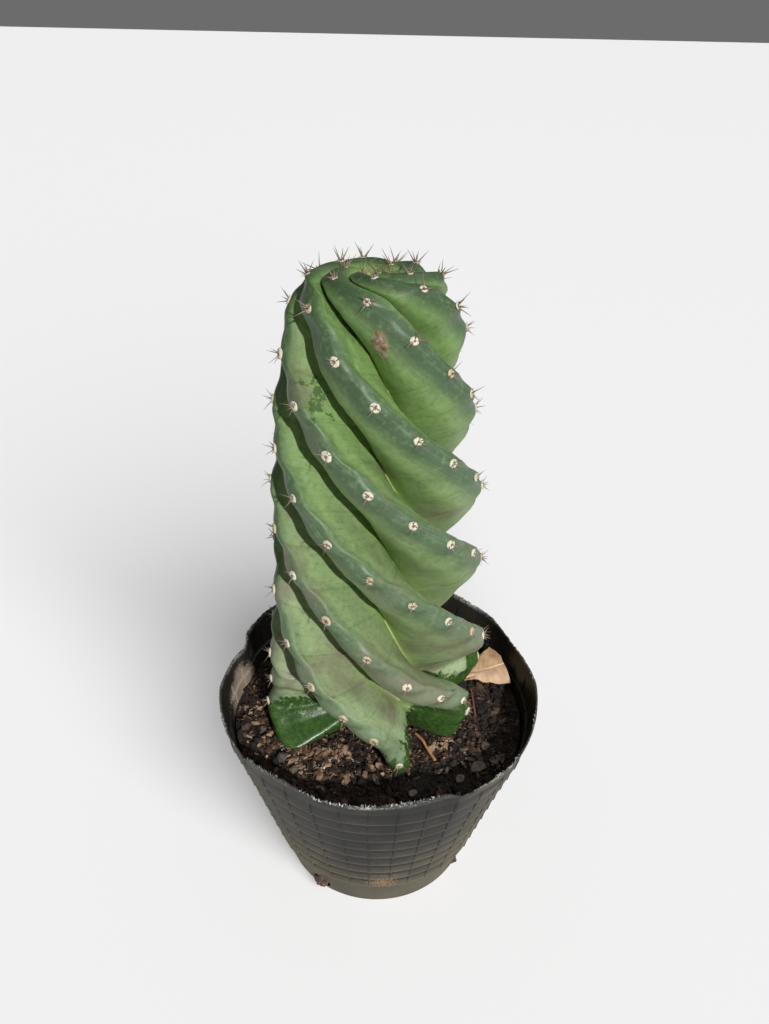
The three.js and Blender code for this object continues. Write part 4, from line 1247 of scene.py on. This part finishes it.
def pot_plastic():
    """Vacuum-formed black polypropylene: satin black with painted shade under each ledge, brown dust and a
    painted highlight on the ledges' proud edges, dust low down and at the sides, and whitened at the cut rim."""
    plastic, add = new_material("black_formed_polypropylene")
    place = add("TexCoord", out="Object")
    spot = add("SeparateXYZ", [place], out=slice(3))
    cloud = add("TexNoise", {"Vector": place, "Scale": grain(30), "Detail": 6.0, "Roughness": 0.62})
    grit = add("TexNoise", {"Vector": place, "Scale": grain(1.2), "Detail": 4.0, "Roughness": 0.7})
    black = add("ValToRGB", [cloud], stops=[(0.35, "#161513"), (0.65, "#25231f")])

    # Place on a ledge: 0 at its proud lower edge and 1 just under the ledge above
    ledge = add("Math", [spot[2], FIRST_LEDGE * MM], "SUBTRACT")
    ledge = add("Math", [ledge, LEDGE_PITCH * MM], "DIVIDE")
    ledge = add("Math", [ledge], "FRACT")
    sides = from_map(add, "wall_side")
    outside = sides[0]
    within = add("Math", [1.0, outside], "SUBTRACT")
    banded = add("MapRange", [spot[2], (FIRST_LEDGE - 0.8) * MM, (FIRST_LEDGE - 0.4) * MM])
    plain = add("MapRange", [spot[2], (RIM_HEIGHT - 10) * MM, (RIM_HEIGHT - 6) * MM, 1.0, 0.0])
    banded = add("Math", [banded, plain], "MULTIPLY")
    banded = add("Math", [banded, outside], "MULTIPLY")
    # The proud lower edge of each ledge: brown dust, and a painted highlight where the edge catches the light
    proud = add("MapRange", [ledge, 0.26, 0.04, 0.0, 0.26])
    proud = add("Math", [proud, banded], "MULTIPLY")
    # Painted shade: a dark band just under each ledge, where the step above shades the wall
    under = add("MapRange", [ledge, 0.4, 0.9, 0.0, 0.95], interpolation_type="SMOOTHSTEP")
    under = add("Math", [under, banded], "MULTIPLY")

    # Brown dust, thicker low down and at the sides, and thin on the inside; on the proud edges it is dust and
    # a painted highlight
    aside = add("Math", [spot[0]], "ABSOLUTE")
    aside = add("MapRange", [aside, 0.025, 0.075, 0.0, 0.22])
    low = add("MapRange", [spot[2], 0.1, 0.01, 0.0, 0.36])
    dust = add("Math", [cloud, grit], "MULTIPLY")
    for layer in (low, aside, proud):
        dust = add("Math", [dust, layer], "ADD")
    dust = add("MapRange", [dust, 0.3, 0.8, 0.0, 0.62])
    kept = add("MapRange", [outside, 0.0, 1.0, 0.2, 1.0])
    dust = add("Math", [dust, kept], "MULTIPLY")
    tone = add("Mix", {0: dust, 6: black, 7: colour("#7a725f")}, data_type="RGBA", out=2)
    # The painted shade under each ledge laid over the tone
    tone = add("Mix", {0: under, 6: tone, 7: colour("#0c0c0b")}, data_type="RGBA", out=2)

    # A splash of dried mud low on the front
    reach = from_patch(add, place, SPLASH_AT, SPLASH_SIZE)
    fleck = add("Math", [reach, -0.16, grit], "MULTIPLY_ADD")
    tone = painted(add, tone, colour("#8c7354"), fleck, 0.39, 0.46, 0.7)

    # A dried crust of mix on the inside of the wall at the left
    reach = from_patch(add, place, CRUST_AT, CRUST_SIZE)
    crust = add("Math", [cloud, 0.8, grit], "MULTIPLY_ADD")
    crust = add("Math", [reach, -0.45, crust], "MULTIPLY_ADD")
    crust = add("MapRange", [crust, 0.45, 0.6, 0.0, 0.9])
    crust = add("Math", [crust, within], "MULTIPLY")
    tone = add("Mix", {0: crust, 6: tone, 7: colour("#968878")}, data_type="RGBA", out=2)

    # The trimmed edge, whitened in places
    cut = add("MapRange", [spot[2], (RIM_HEIGHT - 2.5) * MM, (RIM_HEIGHT - 0.5) * MM, 0.0, 1.0])
    ragged = add("Math", [cloud, 0.9, grit], "MULTIPLY_ADD")
    ragged = add("MapRange", [ragged, 0.95, 1.15, 0.05, 0.75])
    cut = add("Math", [cut, ragged], "MULTIPLY")
    tone = add("Mix", {0: cut, 6: tone, 7: colour("#b9b8b4")}, data_type="RGBA", out=2)
    gloss = add("MapRange", [dust, 0.0, 0.6, 0.42, 0.8])
    bump = add("Bump", {"Height": grit, "Strength": 0.25, "Distance": 0.15 * MM})
    return surfaced(plastic, add, {
        "Base Color": tone, "Roughness": gloss, "Normal": bump, "IOR": 1.49, "Specular IOR Level": 0.2,
    })


def torn_plastic():
    """Torn plastic: thin shreds, stretched until they turn whitish."""
    torn, add = new_material("torn_plastic")
    number = from_map(add, "own_number")
    tone = add("ValToRGB", [number[0]], stops=[(0.0, "#2f2f2d"), (0.55, "#6d6c69"), (1.0, "#cfcecb")])
    return surfaced(torn, add, {"Base Color": tone, "Roughness": 0.6})


def potting_mix():
    """Damp peat and composted bark: near black where wet, reddish brown crumbs where it has dried."""
    mix, add = new_material("peat_potting_mix")
    place = add("TexCoord", out="Object")
    damp = add("TexNoise", {"Vector": place, "Scale": grain(30), "Detail": 3.0})
    crumb = add("TexNoise", {"Vector": place, "Scale": grain(1.6), "Detail": 6.0, "Roughness": 0.75})
    tone = add("Math", [damp, 0.5, crumb], "MULTIPLY_ADD")
    tone = add("ValToRGB", [tone],
               stops=[(0.52, "#050302"), (0.7, "#120b07"), (0.82, "#302016"), (0.93, "#644a36")])
    bump = add("Bump", {"Height": crumb, "Strength": 1.0, "Distance": 1.2 * MM})
    return surfaced(mix, add, {"Base Color": tone, "Roughness": 0.85, "Normal": bump})


def loose_litter(name, codes, roughness, wetness=0.85):
    """Loose scraps: every one has its own shade between the given ones, alike in drifts, darker in small
    flecks and, by the given wetness, away from the dry patch."""
    scrap, add = new_material(name)
    place = add("TexCoord", out="Object")
    number = from_map(add, "own_number")
    drift = add("TexNoise", {"Vector": place, "Scale": grain(11), "Detail": 2.0})
    drift = add("MapRange", [drift, 0.35, 0.65, -0.35, 0.35])
    shade = add("Math", [number[0], drift], "ADD")
    tone = add("ValToRGB", [shade], stops=[(k / (len(codes) - 1), code) for k, code in enumerate(codes)])
    fleck = add("TexNoise", {"Vector": place, "Scale": grain(0.9), "Detail": 4.0, "Roughness": 0.7})
    dark = add("MapRange", [fleck, 0.3, 0.65, 0.6, 0.0])
    inner, outer = DRY_REACH
    middle = from_patch(add, place, (*DRY_AT, SOIL_LEVEL), (inner * DRY_STRETCH, inner, inner))
    damp = add("MapRange", [middle, 1.07, outer / inner + 0.12, 0.0, wetness])
    dark = add("Math", [dark, damp], "MAXIMUM")
    tone = add("Mix", {0: dark, 6: tone, 7: colour("#0d0704")}, data_type="RGBA", out=2)
    bump = add("Bump", {"Height": fleck, "Strength": 0.7, "Distance": 0.3 * MM})
    return surfaced(scrap, add, {"Base Color": tone, "Roughness": roughness, "Normal": bump})


def dead_leaf():
    """Dead leaf: dry papery tissue, tan with darker veins and spots, and painted light and shade on the two
    halves of its fold.
    """
    leaf, add = new_material("dead_leaf_tissue")
    place = add("TexCoord", out="Object")
    cloud = add("TexNoise", {"Vector": place, "Scale": grain(7), "Detail": 6.0, "Roughness": 0.65})
    tone = add("ValToRGB", [cloud], stops=[(0.3, "#7a5a40"), (0.5, "#ae8c67"), (0.7, "#c6a883")])
    cell = add("TexVoronoi", {"Vector": place, "Scale": grain(1.6)}, feature="DISTANCE_TO_EDGE")
    tone = painted(add, tone, colour("#6e4f36"), cell, 0.08, 0.0, 0.35)
    across = from_map(add, "UVMap")
    # Painted light and shade: one half of the blade lighter and the other darker across the midrib, mixed in
    # at 0.4
    aside = add("Math", [across[0], 0.5], "SUBTRACT")
    lit_and_shaded_halves = painted(add, colour("#8a6c46"), colour("#e2c2a2"), aside, 0.02, -0.02)
    tone = add("Mix", {0: 0.4, 6: tone, 7: lit_and_shaded_halves}, data_type="RGBA", out=2)
    aside = add("Math", [aside], "ABSOLUTE")
    lean = add("Math", [aside, -0.35, across[1]], "MULTIPLY_ADD")
    from_vein = add("Math", [lean, 0.06], "PINGPONG")
    tone = painted(add, tone, colour("#5f432d"), from_vein, 0.008, 0.002, 0.2)
    tone = painted(add, tone, colour("#e3cca4"), aside, 0.035, 0.015, 0.85)
    bump = add("Bump", {"Height": cell, "Strength": 0.4, "Distance": 0.2 * MM})
    return surfaced(leaf, add, {"Base Color": tone, "Roughness": 0.7, "Normal": bump})


def wood(name, light, dark, roughness):
    """Thin wood or bark: streaks of two shades along the grain and small pits."""
    twig, add = new_material(name)
    place = add("TexCoord", out="Object")
    streak = add("TexNoise", {"Vector": place, "Scale": grain(2), "Detail": 6.0, "Roughness": 0.7})
    tone = add("ValToRGB", [streak], stops=[(0.35, dark), (0.62, light)])
    bump = add("Bump", {"Height": streak, "Strength": 0.8, "Distance": 0.4 * MM})
    return surfaced(twig, add, {"Base Color": tone, "Roughness": roughness, "Normal": bump})


# Putting the plant together

finish_piece(make_stem(), cactus_skin(), "cactus_skin", "cactus", soft=ALL_SMOOTH)
felt, wool, spines = make_areoles()
hairs = areole_felt()
finish_piece(felt, hairs, "cactus_skin", soft=ALL_SMOOTH)
finish_piece(wool, hairs, "cactus_skin")
finish_piece(spines, spine_horn(), "cactus_skin", soft=60)

finish_piece(make_pot(), pot_plastic(), "pot_plastic", "pot", soft=35)
finish_piece(make_rim_fray(), torn_plastic(), "pot_plastic")

finish_piece(make_soil(), potting_mix(), "potting_mix", "soil", soft=50)
clod = wood("drained_mix_clod", "#6b5547", "#1a120e", 0.9)
finish_piece(make_soil_clods(), clod, "potting_mix", soft=ALL_SMOOTH)

# The three kinds of crumbs share one row of draws
draw = random.Random(21)
crumbs = strew("soil_crumbs", draw, [lump_shape(seed, 1) for seed in range(4)])
clumps = strew("soil_clumps", draw, [lump_shape(seed + 7) for seed in range(5)])
dry_crumbs = strew("dry_crumbs", draw, [lump_shape(seed + 12, 2, 0.55) for seed in range(5)], near_plant)
damp = loose_litter("damp_peat_crumbs", ["#0a0503", "#190f08", "#312014", "#5f452f"], 0.9, 0.5)
dried = loose_litter("dried_peat_crumbs", ["#170d08", "#412c1d", "#765a43", "#b3967a"], 0.9)
finish_piece(crumbs, damp, "potting_mix")
finish_piece(clumps, damp, "potting_mix", soft=ALL_SMOOTH)
finish_piece(dry_crumbs, dried, "potting_mix")

chips = strew("strewn_chips", random.Random(53), [flake_shape(seed + 9) for seed in range(5)], near_chips)
finish_piece(chips, wood("grey_bark_chips", "#6a5c50", "#1f1813", 0.85), "potting_mix")
bark_shades = loose_litter("dried_bark_fibre", ["#3c281c", "#775843", "#a3846a", "#cdb59d"], 0.85)
finish_piece(make_fibres(), bark_shades, "potting_mix")
flakes = strew("husk_flakes", random.Random(47), [flake_shape(seed) for seed in range(5)], near_plant)
finish_piece(flakes, bark_shades, "potting_mix")
grit = strew("white_grit", random.Random(59), [lump_shape(seed + 3) for seed in range(3)])
white = loose_litter("perlite_grit", ["#b5b0a4", "#e2dfd6", "#f2f0ea"], 0.9)
finish_piece(grit, white, "potting_mix", soft=ALL_SMOOTH)

finish_piece(make_leaf(), dead_leaf(), "dry_leaf", "dry_leaf", soft=ALL_SMOOTH)
bark = wood("leaf_stalk_bark", "#b08d68", "#6b4d35", 0.75)
finish_piece(make_stalk(), bark, "dry_leaf", soft=ALL_SMOOTH)

# The twigs, the bark chips and the stones keep their CAD meshes
for node, material in [
    ("orange_twig", wood("orange_twig_bark", "#d09b6b", "#8f603c", 0.7)),
    ("red_stick", wood("red_stick_bark", "#83504a", "#4a2a26", 0.6)),
    *[(f"bark_chip_{k}", wood("dry_bark", "#7d6f64", "#3a2f28", 0.85)) for k in range(1, 7)],
    *[(f"pebble_{k}", wood("river_stone", "#5f574f", "#332c27", 0.8)) for k in range(1, 5)],
]:
    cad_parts[node].data.materials.clear()
    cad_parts[node].data.materials.append(material)


# Camera, floor and light

VIEW_FROM = (-6.7, -437, 560)
VIEW_DOWN = 33.86
VIEW_TURN = 0.98
VIEW_ROLL = 1.38
FOCAL_PIXELS = 950
PHOTO_HEIGHT = 1024

# Lamps: where they stand as (azimuth, elevation), and (width in degrees, strength)
KEY_FROM = (20, 32)
KEY_LIGHT = (1.5, 3.6)
FLOOR_LIGHT = (50, 5.25)
FILL_FROM = (85, 50)
FILL_LIGHT = (80, 1.2)
WORLD_LIGHT = 0.15


def make_camera():
    pitch, yaw, roll = (math.radians(a) for a in (VIEW_DOWN, VIEW_TURN, VIEW_ROLL))
    forward = Vector((math.sin(yaw) * math.cos(pitch), math.cos(yaw) * math.cos(pitch), -math.sin(pitch)))
    right = Vector((math.cos(yaw), -math.sin(yaw), 0))
    up = right.cross(forward)
    turned_right = right * math.cos(roll) + up * math.sin(roll)
    turned_up = up * math.cos(roll) - right * math.sin(roll)
    eye = bpy.data.objects.new("camera", bpy.data.cameras.new("camera"))
    eye.data.sensor_fit = "AUTO"
    eye.data.sensor_width = 36
    eye.data.lens = 36 * FOCAL_PIXELS / PHOTO_HEIGHT
    eye.data.clip_end = 20
    eye.matrix_world = Matrix((turned_right, turned_up, -forward)).transposed().to_4x4()
    eye.matrix_world.translation = Vector(VIEW_FROM) * MM
    bpy.context.scene.collection.objects.link(eye)
    bpy.context.scene.camera = eye


def make_floor():
    bpy.ops.mesh.primitive_plane_add(size=8, location=(0, 0, 0))
    floor = bpy.context.object
    floor.name = "floor"
    paper, add = new_material("pale_studio_paper")
    floor.data.materials.append(surfaced(paper, add, {"Base Color": colour("#eeeeee"), "Roughness": 0.9}))
    floor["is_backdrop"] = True
    return floor


def make_sun(name, azimuth, elevation, softness, strength, lit):
    """Even light from one side, like a large lamp far off, on the given objects alone: azimuth runs
    from the viewer's side to +X, and softness is the lamp's width in degrees."""
    turn, rise = math.radians(azimuth), math.radians(elevation)
    way = Vector((math.sin(turn) * math.cos(rise), -math.cos(turn) * math.cos(rise), math.sin(rise)))
    lamp = bpy.data.objects.new(name, bpy.data.lights.new(name, "SUN"))
    lamp.data.energy = strength
    lamp.data.angle = math.radians(softness)
    lamp.rotation_euler = way.to_track_quat("Z", "Y").to_euler()
    lamp.location = way * 2
    bpy.context.scene.collection.objects.link(lamp)
    receivers = bpy.data.collections.new(name + "_falls_on")
    for item in lit:
        receivers.objects.link(item)
    lamp.light_linking.receiver_collection = receivers


make_camera()
floor = make_floor()
make_sun("key_light", *KEY_FROM, *KEY_LIGHT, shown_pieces())
make_sun("side_light", *FILL_FROM, *FILL_LIGHT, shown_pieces())
make_sun("floor_light", *KEY_FROM, *FLOOR_LIGHT, [floor])
world = bpy.data.worlds.new("soft_studio")
bpy.context.scene.world = world
world.use_nodes = True
world.node_tree.nodes["Background"].inputs["Color"].default_value = (1, 1, 1, 1)
world.node_tree.nodes["Background"].inputs["Strength"].default_value = WORLD_LIGHT
bpy.context.scene.view_settings.view_transform = "Standard"
